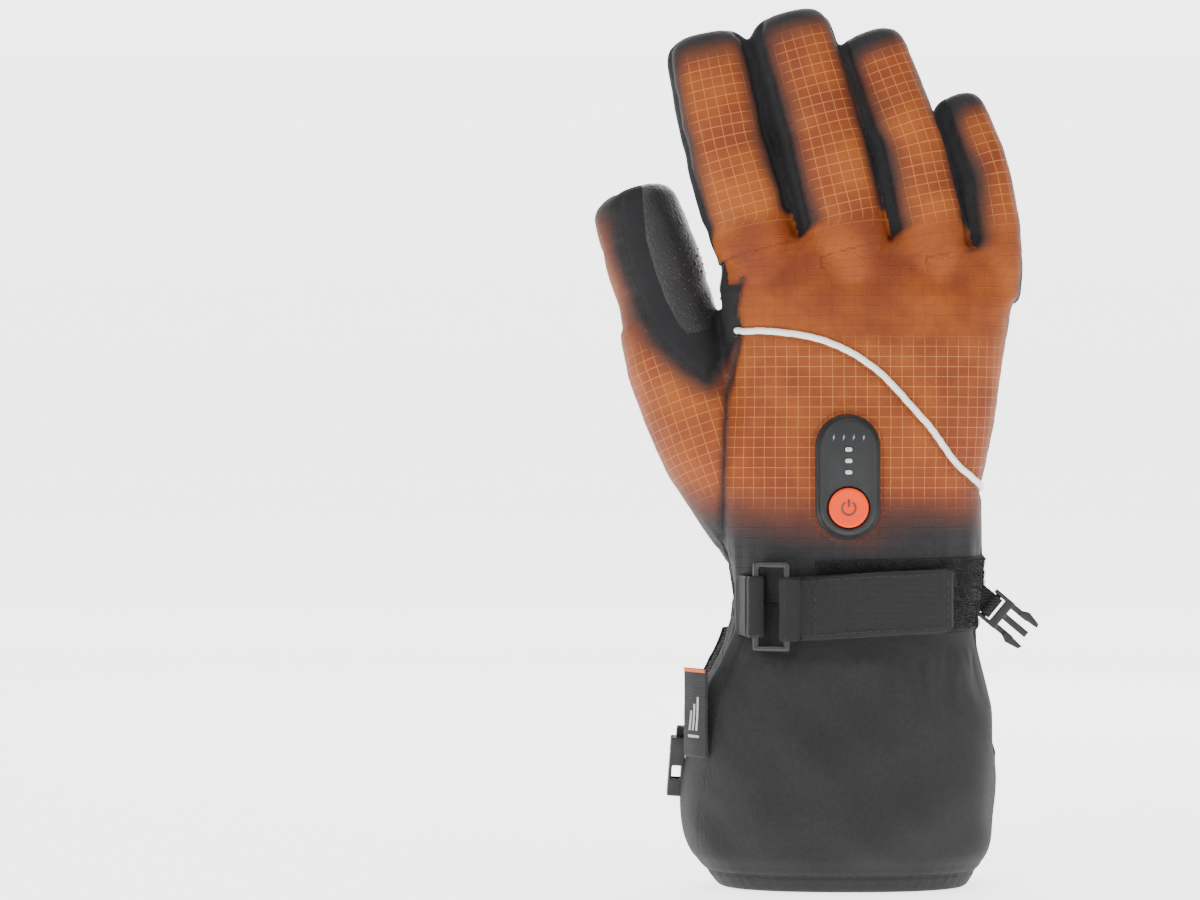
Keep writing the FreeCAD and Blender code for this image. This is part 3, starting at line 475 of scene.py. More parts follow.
def skinFields(p, normals):
    names = list(frames)
    found = [digitPlaces(p, frames[n]) for n in names]
    own = np.full(len(p), -1)
    best = np.full(len(p), 1e9)
    for i, name in enumerate(names):
        _, _, s, _, reach = found[i]
        start = -20 if name == "thumb" else -13
        near = (s > start) & (reach < best) & (reach < (1.9 if name == "thumb" else 3))
        best, own = np.where(near, reach, best), np.where(near, i, own)
    angleH, cx, a, _ = handAngles(p)
    arcH, fullH = ovalArc(angleH, a)
    fields = {"u": arcH + cx, "v": p[:, 2].copy(), "palmU": np.where(angleH > 0, fullH - arcH, -fullH - arcH)}
    inDegrees = np.degrees(np.abs(angleH))
    back = (hand["backSide"] - inDegrees) * 0.62
    palm = (inDegrees - hand["palmSide"]) * 0.62
    tip, knuckle, bend = np.full(len(p), 99.0), np.full(len(p), 99.0), np.full(len(p), 99.0)
    onDigit = np.zeros(len(p))
    for i, name in enumerate(names):
        _, _, s, angle, _ = found[i]
        mine = own == i
        d = frames[name]
        r = (d.a + d.b) / 2
        start = (-22, 0) if name == "thumb" else (-13, 1)
        t = np.where(mine, smoothStep(start[0], start[1], s), 0)
        arc = angle * r
        turned = np.where(angle > 0, math.pi - angle, -math.pi - angle) * r
        blend = lambda old, new: np.where(mine, old + (new - old) * t, old)
        fields["u"] = blend(fields["u"], d.k[0] + arc)
        fields["v"] = blend(fields["v"], d.k[2] + s)
        fields["palmU"] = blend(fields["palmU"], turned)
        if name != "thumb":
            degreesHere = np.degrees(np.abs(angle))
            back = blend(back, np.radians(hand["backFinger"] - degreesHere) * r)
            palm = blend(palm, np.radians(degreesHere - hand["palmFinger"]) * r)
        tip = np.where(mine, d.l1 + d.l2 - s, tip)
        knuckle = np.where(mine, s, knuckle)
        bend = np.where(mine, s - d.l1, bend)
        onDigit = np.where(mine, t, onDigit)
    thumb = names.index("thumb")
    x, z = p[:, 0], p[:, 2]
    facing = normals[:, 1]
    # the thumb's panels follow seams drawn on the back and on the palm
    distance, side, _ = lineField(x, z, thumbBackSeam)
    onBack = distance * -side
    distance, side, _ = lineField(x, z, thumbPalmSeam)
    onPalm = distance * -side
    seamX = np.interp(z, [q[1] for q in thumbHandSeam[::-1]], [q[0] for q in thumbHandSeam[::-1]])
    besideSeam = np.where(facing < 0, x < seamX, onPalm > -4) & (own == -1) & (z < 226)
    isThumb = (own == thumb) | besideSeam
    _, _, ts, tangle, _ = found[thumb]
    radius = (frames["thumb"].a + frames["thumb"].b) / 2
    flipped = np.where(tangle > 0, math.pi - tangle, -math.pi - tangle) * radius
    knuckleAt = frames["thumb"].k
    for key, value in (("u", knuckleAt[0] + tangle * radius), ("v", knuckleAt[2] + ts), ("palmU", flipped)):
        fields[key] = np.where(isThumb, value, fields[key])
    fields["thumbSeam"] = np.where((facing < 0.2) & (own == -1), np.abs(x - seamX), 99)
    turnover = smoothStep(-0.15, 0.25, facing)
    mixed = onBack * (1 - turnover) + onPalm * turnover
    back = np.where(isThumb, mixed, back)
    palmSide = facing > 0.05
    distance, side, _ = lineField(x, z, thumbStripSeam)
    strip = distance * side
    besideThumb = (x < 0) & (z < 214)
    palmHand = np.minimum(np.where(palmSide, z - 140, -5), np.where(besideThumb, strip, palm))
    palm = np.where(own == -1, palmHand, palm)
    # the inner side of the thumb is leather as well, seen from both sides
    innerThumb = np.where(facing < 0.3, -onBack - 9, strip)
    palm = np.where(isThumb & (own == thumb), innerThumb, palm)
    distance, _, _ = lineField(x, z, thumbInsetSeam)
    inset = np.where(palmSide & (own == -1), distance, 99)
    channel = np.full(len(p), 99.0)
    for points in palmChannels:
        distance, _, _ = lineField(x, z, points)
        channel = np.minimum(channel, np.where(palmSide, distance, 99))
    distance, _, _ = lineField(x, z, pipingLine)
    piping = np.where(facing < 0.1, distance, 99)
    fields.update(back=back, palm=palm, tip=tip, knuckle=knuckle, bend=bend, own=own, onDigit=onDigit,
                  inset=inset,
                  channel=channel, piping=piping, facing=facing, isThumb=isThumb.astype(float), angle=angleH)
    return fields


# painted glow: this mask paints the orange heating glow into the colour, fading it to dark towards the seams,
# panel edges, fingertips and wrist
def paintedGlow(p, f):
    wobble = rough(p, 21, 3.1)
    fine = rough(p, 9, 8.4)
    back = smoothStep(0.3, 10.5, f["back"] + wobble * 2.0) * smoothStep(3, 17, f["tip"] + wobble * 3)
    back *= smoothStep(124, 153, p[:, 2] + wobble * 6 - np.abs(p[:, 0] - 6) * 0.10)
    palm = smoothStep(-0.3, 6.5, f["palm"] + wobble * 1.5) * smoothStep(3, 13, f["tip"] + wobble * 2)
    palm *= smoothStep(58, 44, p[:, 0]) * smoothStep(136, 147, p[:, 2])
    palm = np.where((f["isThumb"] > 0) & (f["facing"] < 0.3), 0, palm)
    back *= 1 - 0.75 * np.exp(-(f["thumbSeam"] / 1.6) ** 2)
    glow = np.maximum(back, palm)
    return np.clip(glow * (1 + 0.16 * fine), 0, 1)


def skinLift(p, f):
    def pinch(distance, depth, width):
        return -depth * np.exp(-(np.abs(distance) / width) ** 2)

    small, fold, broad = rough(p, 4.2, 1.0), rough(p, 10, 5.0), rough(p, 26, 9.0)
    lift = 0.75 * broad + 0.28 * fold
    edge = np.abs(f["back"])
    edge = np.minimum(edge, np.where(f["facing"] > -0.4, np.abs(f["palm"]), 99))
    lift += pinch(edge, 0.8, 1.5) + 0.42 * small * np.exp(-edge / 3.5)
    lift += pinch(f["thumbSeam"], 0.8, 1.3) + 0.4 * small * np.exp(-f["thumbSeam"] / 4)
    lift += pinch(f["piping"], 0.9, 2.2) + 0.3 * small * np.exp(-f["piping"] / 5)
    lift += pinch(f["inset"], 0.9, 1.5) + 0.35 * small * np.exp(-f["inset"] / 4)
    lift += pinch(f["channel"], 1.5, 2.3) + 0.5 * small * np.exp(-f["channel"] / 5)
    inside = smoothStep(-0.2, 0.4, f["facing"])
    for key, depth in (("bend", 1.3), ("knuckle", 1.0)):
        wave = f[key] + 2.2 * fold
        lift += -depth * inside * np.exp(-(wave / 2.6) ** 2) * f["onDigit"]
        lift += -0.35 * (1 - inside) * np.exp(-((wave - 1) / 4) ** 2) * f["onDigit"]
    gather = np.array([noise.noise(Vector((u / 5.2, z / 46, 2.0))) for u, z in zip(f["u"], p[:, 2])])
    lift += 1.3 * gather * smoothStep(142, 116, p[:, 2])
    return lift


def setAttribute(mesh, name, values):
    layer = mesh.attributes.new(name, "FLOAT", "POINT")
    layer.data.foreach_set("value", np.asarray(values, np.float32))


def gloveSkin():
    mesh = remeshed(gloveForm(), hand["voxel"])
    co, edges = meshArrays(mesh)
    co = relax(co, edges, hand["smoothing"])
    mesh.vertices.foreach_set("co", (co * mm).ravel())
    mesh.update()
    normals = vertexNormals(mesh)
    f = skinFields(co, normals)
    glow = paintedGlow(co, f)
    lift = skinLift(co, f)
    lift = np.where(f["tip"] < 3, lift * 0.4, lift)
    moved = relax(co + normals * lift[:, None], edges, 1, 0.6)
    mesh.vertices.foreach_set("co", (moved * mm).ravel())
    mesh.update()
    kept = {"weaveU": "u", "weaveV": "v", "palmU": "palmU", "backSeam": "back", "palmSeam": "palm"}
    for name, key in kept.items():
        setAttribute(mesh, name, f[key])
    setAttribute(mesh, "glow", glow)
    setAttribute(mesh, "owner", f["own"])
    setAttribute(mesh, "bendAt", f["bend"])
    done = vertexNormals(mesh)
    for i, axis in enumerate("xyz"):
        setAttribute(mesh, "normal" + axis, done[:, i])
    print("stage: skin of", len(co), "points")
    return mesh


def keepNormals(mesh):
    normals = np.empty((len(mesh.vertices), 3), np.float32)
    for i, axis in enumerate("xyz"):
        values = np.empty(len(mesh.vertices), np.float32)
        mesh.attributes["normal" + axis].data.foreach_get("value", values)
        normals[:, i] = values
        mesh.attributes.remove(mesh.attributes["normal" + axis])
    mesh.attributes.remove(mesh.attributes["owner"])
    normals /= np.linalg.norm(normals, axis=1)[:, None].clip(1e-6)
    mesh.normals_split_custom_set_from_vertices(normals.tolist())


def groupOf(centre, owner):
    name = list(frames)[owner] if owner >= 0 else None
    if name is None:
        return "hand"
    d = frames[name]
    s = (centre / mm - d.k).dot(d.axes1[2])
    if s < hand["cuts"][name]:
        return "hand"
    if name == "thumb":
        return "thumbTip"
    return name + ("Lower" if s < d.l1 / 2 else "Upper")


def splitSkin(source):
    whole = bmesh.new()
    whole.from_mesh(source)
    owner = whole.verts.layers.float["owner"]
    for i, (name, d) in enumerate(frames.items()):
        for s in [hand["cuts"][name]] + ([d.l1 / 2] if name != "thumb" else []):
            faces = {face for v in whole.verts if round(v[owner]) == i for face in v.link_faces}
            edges = {e for f in faces for e in f.edges}
            verts = {v for f in faces for v in f.verts}
            point = (d.k + d.axes1[2] * s) * mm
            bmesh.ops.bisect_plane(whole, geom=list(faces) + list(edges) + list(verts), plane_co=point,
                                   plane_no=d.axes1[2], dist=1e-6)
    meshes, tags = {}, []
    for face in whole.faces:
        near = [round(v[owner]) for v in face.verts]
        tags.append(groupOf(face.calc_center_median(), max(near, key=near.count)))
    for group in sorted(set(tags)):
        part = whole.copy()
        unwanted = [f for f, tag in zip(part.faces, tags) if tag != group]
        if group == "hand":
            unwanted += [f for f, tag in zip(part.faces, tags)
                         if tag == group and f.calc_center_median().z < hand["floor"] * mm]
        bmesh.ops.delete(part, geom=unwanted, context="FACES")
        meshes[group] = meshFrom(part, group + "Skin")
        keepNormals(meshes[group])
    whole.free()
    return meshes


def softshellColour(tree):
    fine = cloudy(tree, 260, 3)
    wide = cloudy(tree, 28, 2)
    tint = mixColour(tree, fine, fromHex("111113"), fromHex("1c1c1f"))
    return mixColour(tree, ramp(tree, wide, 0.35, 0.7), tint, fromHex("151517"))


def skinPaint():
    paint, tree, shader = newPaint("gloveFabric", 0.6, Specular_IOR_Level=0.3)
    u, v, palmU = attribute(tree, "weaveU"), attribute(tree, "weaveV"), attribute(tree, "palmU")
    glow = attribute(tree, "glow")
    back = ramp(tree, attribute(tree, "backSeam"), -0.15, 0.15)
    palm = ramp(tree, attribute(tree, "palmSeam"), -0.15, 0.15)
    grid = calc(tree, "MAXIMUM", gridLine(tree, u, 4.3, 0.3), gridLine(tree, v, 3.75, 0.3))
    bare = calc(tree, "MULTIPLY", ramp(tree, v, 196, 213), ramp(tree, v, 255, 242))
    palmGrid = calc(tree, "MAXIMUM", gridLine(tree, palmU, 4.6, 0.3), gridLine(tree, v, 4.1, 0.3))
    # painted glow: the orange cloth, its lighter orange grid threads and the orange leather below stand in
    # for the heating glow; the glow attribute lays them over the dark cloth and dark leather
    blotch = cloudy(tree, 45, 3)
    orange = mixColour(tree, ramp(tree, blotch, 0.3, 0.7), fromHex("6f2c05"), fromHex("92480a"))
    low = ramp(tree, addNode(tree, "ShaderNodeSeparateXYZ", {0: places(tree)}).outputs[2], 0.125, 0.2)
    orange = mixColour(tree, ramp(tree, low, 0, 1, 0.55, 0), orange, fromHex("762a07"))
    speck = cloudy(tree, 1500, 1)
    orange = mixColour(tree, calc(tree, "MULTIPLY", speck, 0.35), orange, fromHex("5f2809"))
    dark = softshellColour(tree)
    cloth = mixColour(tree, glow, dark, orange)
    threads = mixColour(tree, glow, fromHex("3a3a3d"), fromHex("bb7434"))
    strength = calc(tree, "MULTIPLY", ramp(tree, glow, 0.2, 0.9, 0.04, 0.7), ramp(tree, bare, 0, 1, 1, 0.03))
    ripstop = mixColour(tree, calc(tree, "MULTIPLY", grid, strength), cloth, threads)
    # painted glow: this orange leather colour is shown only where the glow attribute is high
    hide = mixColour(tree, ramp(tree, cloudy(tree, 60, 3), 0.2, 0.8), fromHex("6c2f08"), fromHex("86420c"))
    leather = mixColour(tree, glow, fromHex("2b2a2a"), hide)
    onDigit = ramp(tree, v, 246, 256)
    palmLines = calc(tree, "MULTIPLY", palmGrid, onDigit)
    palmLines = calc(tree, "MULTIPLY", palmLines, ramp(tree, glow, 0.3, 0.9, 0.0, 0.7))
    leather = mixColour(tree, palmLines, leather, fromHex("c98a50"))
    colour = mixColour(tree, back, dark, ripstop)
    colour = mixColour(tree, palm, colour, leather)
    useColour(tree, shader, colour)
    useRoughness(tree, shader, mixValue(tree, palm, mixValue(tree, back, 0.82, 0.62), 0.42))
    rising, falling = calc(tree, "ADD", u, v), calc(tree, "SUBTRACT", u, v)
    twill = calc(tree, "MULTIPLY", wavy(tree, rising, 0.62), wavy(tree, falling, 0.9))
    raised = calc(tree, "MULTIPLY", calc(tree, "MULTIPLY", grid, back), 0.9)
    ribs = calc(tree, "ADD", calc(tree, "MULTIPLY", twill, 0.25), raised)
    grain = cells(tree, 900)
    height = mixValue(tree, palm, ribs, calc(tree, "MULTIPLY", grain, 1.1))
    addBump(tree, shader, height, 0.16, 0.9)
    addBump(tree, shader, cloudy(tree, 110, 3), 0.5, 0.35)
    return paint


def attach(piece, group):
    # moves a piece with the skin of that group, and gives the stem of the nodes behind it
    if group == "hand":
        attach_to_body(piece, "hand")
        return "hand"
    name = group[:-5] if group != "thumbTip" else "thumb"
    d = frames[name]
    reach = 11 if name != "little" else 9
    if group.endswith("Upper"):
        bodyA, bodyB, joint, axis = f"{name}_lower", f"{name}_upper", d.m, d.axes2[2]
    else:
        bodyB = "thumb_tip" if name == "thumb" else f"{name}_lower"
        bodyA, joint, axis = "hand", d.k, d.axes1[2]
    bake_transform(piece, bodyA, bodyB, start=(joint - axis * reach) * mm, end=(joint + axis * reach) * mm)
    return "thumb" if name == "thumb" else bodyB


def addSkin():
    source = gloveSkin()
    paint = skinPaint()
    skins = {}
    for group, mesh in splitSkin(source).items():
        piece = addPiece(group + "Skin", mesh, paint)
        skins[group] = piece
        if group == "hand":
            attach(piece, group)
            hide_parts("back_shell", "palm_panel", "thumb_panel", "hand_insulation", "wrist_elastic",
                        "hand_lining")
            continue
        stem = attach(piece, group)
        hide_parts(f"{stem}_shell", f"{stem}_lining")
    bpy.data.meshes.remove(source)
    print("stage: skin cut into", len(skins), "pieces")
    return skins


skins = addSkin()


# what follows is laid on shapes already made, found by shooting rays at them
def treeOf(*objects):
    points, faces = [], []
    for o in objects:
        start = len(points)
        points += [v.co / mm for v in o.data.vertices]
        faces += [[start + i for i in p.vertices] for p in o.data.polygons]
    return BVHTree.FromPolygons(points, faces)


def hit(tree, point, direction):
    place, normal, _, _ = tree.ray_cast(Vector(point), Vector(direction))
    return (place, normal) if place else None


def resampled(points, step):
    out = []
    for a, b in zip(points, points[1:]):
        count = max(1, round((b - a).length / step))
        out += [a.lerp(b, i / count) for i in range(count)]
    return out + [points[-1]]


def curved(points, count=8):
    out = []
    for i in range(len(points) - 1):
        p0, p1 = points[max(i - 1, 0)], points[i]
        p2, p3 = points[i + 1], points[min(i + 2, len(points) - 1)]
        for k in range(count):
            t = k / count
            out.append(0.5 * (2 * p1 + (p2 - p0) * t + (2 * p0 - 5 * p1 + 4 * p2 - p3) * t * t
                              + (3 * p1 - p0 - 3 * p2 + p3) * t ** 3))
    return out + [points[-1]]


def lineOn(tree, line, palm=False, step=0.8, smooth=True):
    side = 1 if palm else -1
    flat = [Vector((x, 0, z)) for x, z in line]
    found = []
    for p in resampled(curved(flat) if smooth else flat, step):
        got = hit(tree, (p.x, 120 * side, p.z), (0, -side, 0))
        if got:
            found.append(got)
    return found


def ringOn(tree, centre, height, start, stop, step=0.8, radius=58):
    count = max(2, round(math.radians(abs(stop - start)) * radius / step))
    found = []
    for i in range(count + 1):
        a = math.radians(start + (stop - start) * i / count)
        outward = Vector((math.sin(a), -math.cos(a), 0))
        middle = Vector((centre[0], centre[1], height(a) if callable(height) else height))
        got = hit(tree, middle + outward * 120, -outward)
        if got:
            found.append(got)
    return found


def tube(bm, path, radius, sides=10, reference=Vector((0, 0, 1))):
    rings = []
    for i, p in enumerate(path):
        z = (path[min(i + 1, len(path) - 1)] - path[max(i - 1, 0)]).normalized()
        x = reference.cross(z)
        x = (x if x.length > 1e-2 else Vector((0, 1, 0)).cross(z)).normalized()
        rings.append(ovalRing(bm, p, x, z.cross(x), radius, radius, 2.0, sides))
    skinRings(bm, rings)


def stitchesAlong(found, length=2.4, gap=0.8, radius=0.24, lift=0.05):
    # one flattened thread per stitch along a line of places and normals
    run, start, out = 0.0, None, []
    for (a, na), (b, _) in zip(found, found[1:]):
        if start is None:
            start = a
        run += (b - a).length
        if run >= length:
            along, middle = b - start, (b + start) / 2
            z = along.normalized()
            y = (na - z * na.dot(z)).normalized()
            out.append((middle + y * lift, (y.cross(z) * radius, y * radius, along / 2)))
            start, run = None, -gap
        elif run < 0:
            start = None
    return out


def copies(name, placed, paint, body="hand", kind="ball", sides=6):
    bm = bmesh.new()
    if kind == "ball":
        bmesh.ops.create_uvsphere(bm, u_segments=sides, v_segments=sides - 1, radius=1)
    else:
        bmesh.ops.create_cone(bm, cap_ends=False, segments=sides, radius1=1, radius2=0.3, depth=2)
    bm.verts.ensure_lookup_table()
    local = np.array([v.co for v in bm.verts])
    faces = np.array([[v.index for v in f.verts] + [f.verts[0].index] * (4 - len(f.verts)) for f in bm.faces])
    sizes = [len(f.verts) for f in bm.faces]
    bm.free()
    points, polygons = [], []
    for i, (middle, axes) in enumerate(placed):
        points.append((local @ np.array(axes) + np.array(middle)) * mm)
        polygons += [list(face[:n] + i * len(local)) for face, n in zip(faces, sizes)]
    mesh = bpy.data.meshes.new(name)
    mesh.from_pydata(np.concatenate(points), [], polygons)
    piece = addPiece(name, mesh, paint)
    if body:
        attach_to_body(piece, body)
    return piece


def gridMesh(bm, columns, rows, place):
    made = bmesh.ops.create_grid(bm, x_segments=columns, y_segments=rows, size=0.5)["verts"]
    for v in made:
        v.co = Vector(place(v.co.x + 0.5, v.co.y + 0.5)) * mm
    return made


def slab(bm, columns, rows, front, thickness, edgeRound=0.5):
    # a sheet with two faces and rounded edges, from the front face's places and normals
    def wrapped(u, v):
        s, t = min(u * 2, 2 - u * 2), v
        place, normal = front(s, t)
        edge = min(s, 1 - s, t, 1 - t)
        pinch = edgeRound * max(0, 1 - edge * 30)
        return place - normal * (pinch if u < 0.5 else thickness - pinch)

    gridMesh(bm, columns * 2, rows, wrapped)
    bmesh.ops.remove_doubles(bm, verts=bm.verts, dist=1e-6)
    rim = [e for e in bm.edges if e.is_boundary]
    bmesh.ops.holes_fill(bm, edges=rim, sides=0)
    return closed(bm)


def closed(bm):
    bmesh.ops.recalc_face_normals(bm, faces=bm.faces)
    return bm


def roughness(v, scale, seed=0.0):
    return noise.noise(Vector(v) / scale + Vector((seed, -seed, seed)))


def jostled(mesh, amount, scale, seed=0.0):
    co, _ = meshArrays(mesh)
    normals = vertexNormals(mesh)
    co += normals * (rough(co, scale, seed) * amount)[:, None]
    mesh.vertices.foreach_set("co", (co * mm).ravel())
    mesh.update()


def softened(node, body, paint, voxel=0.25, rounds=2, amount=0.0):
    source = bpy.data.objects[node]
    mesh = remeshed(source.data.copy(), voxel * (1))
    co, edges = meshArrays(mesh)
    mesh.vertices.foreach_set("co", (relax(co, edges, rounds) * mm).ravel())
    mesh.update()
    if amount:
        jostled(mesh, amount, 3.5)
    piece = addPiece(node + "Smooth", mesh, paint)
    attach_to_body(piece, body)
    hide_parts(node)
    return piece


# plain paints, each with a fine bump of its own
def clothPaint(name, dark, light, pitch, roughness=0.85, bump=0.12):
    paint, tree, shader = newPaint(name, roughness, Sheen_Weight=0.03, Sheen_Roughness=0.5)
    flecks = ramp(tree, cloudy(tree, 700, 4, 0.7), 0.3, 0.75)
    useColour(tree, shader, mixColour(tree, flecks, fromHex(dark), fromHex(light)))
    split = addNode(tree, "ShaderNodeSeparateXYZ", {0: places(tree)})
    x, y, z = split.outputs
    flat = calc(tree, "ADD", x, calc(tree, "MULTIPLY", y, 0.6))
    rising, falling = calc(tree, "ADD", flat, z), calc(tree, "SUBTRACT", flat, z)
    twill = calc(tree, "MULTIPLY", wavy(tree, rising, pitch * mm), wavy(tree, falling, pitch * mm))
    addBump(tree, shader, twill, bump, 0.7)
    addBump(tree, shader, cloudy(tree, 90, 3), 0.4, 0.3)
    return paint


def moulded(name, dark, light, roughness, grain=900, bump=0.03, **sockets):
    paint, tree, shader = newPaint(name, roughness, **sockets)
    useColour(tree, shader, mixColour(tree, cloudy(tree, 160, 3), fromHex(dark), fromHex(light)))
    useRoughness(tree, shader, ramp(tree, cloudy(tree, 220, 3), 0.3, 0.7, roughness - 0.07, roughness + 0.08))
    addBump(tree, shader, cloudy(tree, grain, 2), bump, 0.6)
    return paint


def ribbedPaint(name, dark, light, pitch, axis="Z", roughness=0.8, depth=0.25):
    paint, tree, shader = newPaint(name, roughness, Sheen_Weight=0.03)
    split = addNode(tree, "ShaderNodeSeparateXYZ", {0: places(tree)})
    ribs = wavy(tree, split.outputs[axis], pitch * mm)
    useColour(tree, shader, mixColour(tree, ramp(tree, ribs, -1, 1), fromHex(dark), fromHex(light)))
    fuzz = calc(tree, "MULTIPLY", cloudy(tree, 1400, 2), 0.8)
    addBump(tree, shader, calc(tree, "ADD", ribs, fuzz), depth, 0.9)
    return paint


paints = {
    "softshell": clothPaint("softshell", "101012", "19191c", 0.7),
    "fleece": clothPaint("fleece", "1b1b1d", "2a2a2d", 2.2, 0.95, 0.5),
    "strap": clothPaint("strapWeb", "08080a", "101012", 0.9, 0.85, 0.2),
    "webbing": ribbedPaint("ribbedWeb", "0d0d0e", "1e1e20", 1.1),
    "fuzz": clothPaint("fuzz", "040405", "0e0e10", 1.6, 0.95, 0.5),
    "plastic": moulded("bucklePlastic", "0a0a0b", "121213", 0.4),
    "rubber": moulded("controlRubber", "1a1b1c", "222324", 0.5, Specular_IOR_Level=0.3),
    "button": moulded("buttonOrange", "e03704", "e8450c", 0.5, Specular_IOR_Level=0.15),
    "lens": moulded("lightLens", "9ea3a6", "c2c6c8", 0.25, Emission_Strength=0.0),
    "icon": moulded("iconGrey", "8b8d90", "9a9c9f", 0.5),
    "symbol": moulded("symbolDark", "30302f", "3b3b3a", 0.5),
    "reflective": moulded("reflectiveCord", "dfddd6", "f2f0ea", 0.42, 700, 0.06, Sheen_Weight=0.2),
    "metal": moulded("sliderMetal", "4b4c4e", "68696c", 0.3, Metallic=0.9),
    "pull": moulded("pullRubber", "18191b", "232427", 0.6),
    "tape": ribbedPaint("zipTape", "161617", "2c2c30", 0.9),
    "nylon": moulded("zipNylon", "1a1a1c", "2c2c2f", 0.42),
    "labelWeave": ribbedPaint("labelWeave", "0d0d10", "1d1d22", 0.55),
    "labelEdge": ribbedPaint("labelEdge", "c84e12", "ec7426", 0.8, "X"),
    "labelThread": ribbedPaint("labelThread", "b9bbbd", "e2e3e4", 0.5),
    "thread": moulded("threadDark", "17171a", "26262a", 0.7),
    "threadWarm": moulded("threadBrown", "4a260f", "6a3715", 0.7),
    # painted glow: the orange dot paint is for dots inside the glow, the dark one for the rest
    "dot": moulded("gripDot", "6b3a10", "8f551c", 0.25),
    "dotDark": moulded("gripDotDark", "1a1a1b", "2a2a2b", 0.25),
    "cord": ribbedPaint("elasticCord", "141415", "2c2c2e", 0.8),
    "hidden": moulded("hiddenPart", "202124", "2b2c30", 0.5),
}
print("stage: paints")

cuff = {
    "rows": [(2.0, 1, 2, 41.4, 25.2), (0.5, 1, 3, 43, 27), (0.1, 1, 3.6, 44.8, 29), (1.0, 0.8, 4, 47, 31.2),
             (5, 0.4, 4.2, 50, 33.4), (9, 0.2, 3.8, 53, 35), (15, 0, 3.4, 56.2, 36.8), (30, 0, 3, 58.6, 38),
             (42, 0, 3, 58.2, 37.6), (55, 0, 3, 56.8, 36.3), (66, 0.6, 3, 55.2, 34.8), (75, 1, 2.8, 53, 32.6),
             (86, 3, 2.4, 49.6, 29.8), (94, 4.2, 2.2, 47.0, 27.8), (101, 5, 2, 46.0, 27.0),
             (107, 5.5, 2, 46.2, 26.8), (110, 5.5, 2, 44.6, 25.6)],
    "columns": 330, "perRow": 9, "hemLine": 6.2, "hemDepth": 0.55,
    "zip": {"z": 25, "tilt": 3.4, "front": 40.6, "radius": 105, "half": 47.5, "window": 4.4, "depth": 2.1},
    "sideSeam": [(-44.5, 100), (-44.5, 90), (-45.5, 70), (-50.5, 47), (-54.2, 27), (-53, 6)],
    "inner": [(2.0, 1, 2, 41.2, 25.0), (8, 0.5, 0, 45.5, 23.5), (14, 0, -2, 49, 22), (30, 0, -6, 50, 18.5),
              (55, 0, -6, 48.5, 18), (75, 1, -5, 46, 17), (92, 4, -3, 42, 17), (112, 6, 2, 40.5, 20.5),
              (150, 4, 2, 42, 19),
              (190, 8, 2, 43, 18), (220, 9, 2, 42, 12), (226, 9, 2, 30, 7)],
}


def zipHeight(x):
    return cuff["zip"]["z"] + x * math.tan(math.radians(cuff["zip"]["tilt"]))


def zipFront(x):
    return cuff["zip"]["front"] - (cuff["zip"]["radius"] - math.sqrt(cuff["zip"]["radius"] ** 2 - x * x))


def cuffLift(x, y, z, angle):
    broad = roughness((x, y, z * 1.4), 26, 4.0)
    slant = roughness((x + z * 0.7, y, z * 0.3), 15, 2.0)
    drape = roughness(((x + z * 0.9) * 1.5, y, (z - x * 0.5) * 0.45), 24, 11.0)
    body = smoothStep(4, 20, z) * smoothStep(104, 88, z)
    gather = noise.noise(Vector((math.sin(angle) * 8.6, math.cos(angle) * 6.0, z / 34)))
    fine = noise.noise(Vector((math.sin(angle) * 17, math.cos(angle) * 13, z / 22 + 5)))
    lift = body * (2.0 * broad + 1.1 * slant + 1.3 * drape)
    lift += smoothStep(58, 98, z) * (1.5 * gather + 0.7 * fine)
    lift -= cuff["hemDepth"] * math.exp(-((z - cuff["hemLine"]) / 0.9) ** 2)
    lift += 0.35 * fine * smoothStep(16, 5, z) * smoothStep(0, 3, z)
    if y > 0 and abs(x) < 53:
        across, beyond = abs(z - zipHeight(x)), smoothStep(50.5, 48, abs(x))
        zip3 = cuff["zip"]
        lift *= 1 - 0.9 * smoothStep(11, 6, across)
        lift -= beyond * zip3["depth"] * smoothStep(zip3["window"] + 0.7, zip3["window"] - 0.5, across)
        lift += 0.35 * math.exp(-((across - zip3["window"] - 1.6) / 1.0) ** 2) * beyond
    if y < 0 and x > -30:  # held flat below the strap
        lift -= (lift + 1.0) * float(smoothStep(84, 92, z) * smoothStep(-30, -24, x))
    return float(lift)


def splineRows(rows, count):
    points = [Vector(r[:4]) for r in rows]
    depths = [Vector((r[4], 0)) for r in rows]
    return [(*p, d[0]) for p, d in zip(curved(points, count), curved(depths, count))]


def ovalAt(angle, row, power=2.4):
    s, c = math.sin(angle), math.cos(angle)
    z, cx, cy, a, b = row
    x = math.copysign(abs(s) ** (2 / power), s)
    y = math.copysign(abs(c) ** (2 / power), c)
    steep = power - 1
    normal = Vector((math.copysign(abs(x) ** steep, x) / a, -math.copysign(abs(y) ** steep, y) / b, 0))
    return Vector((cx + x * a, cy - y * b, z)), normal.normalized()


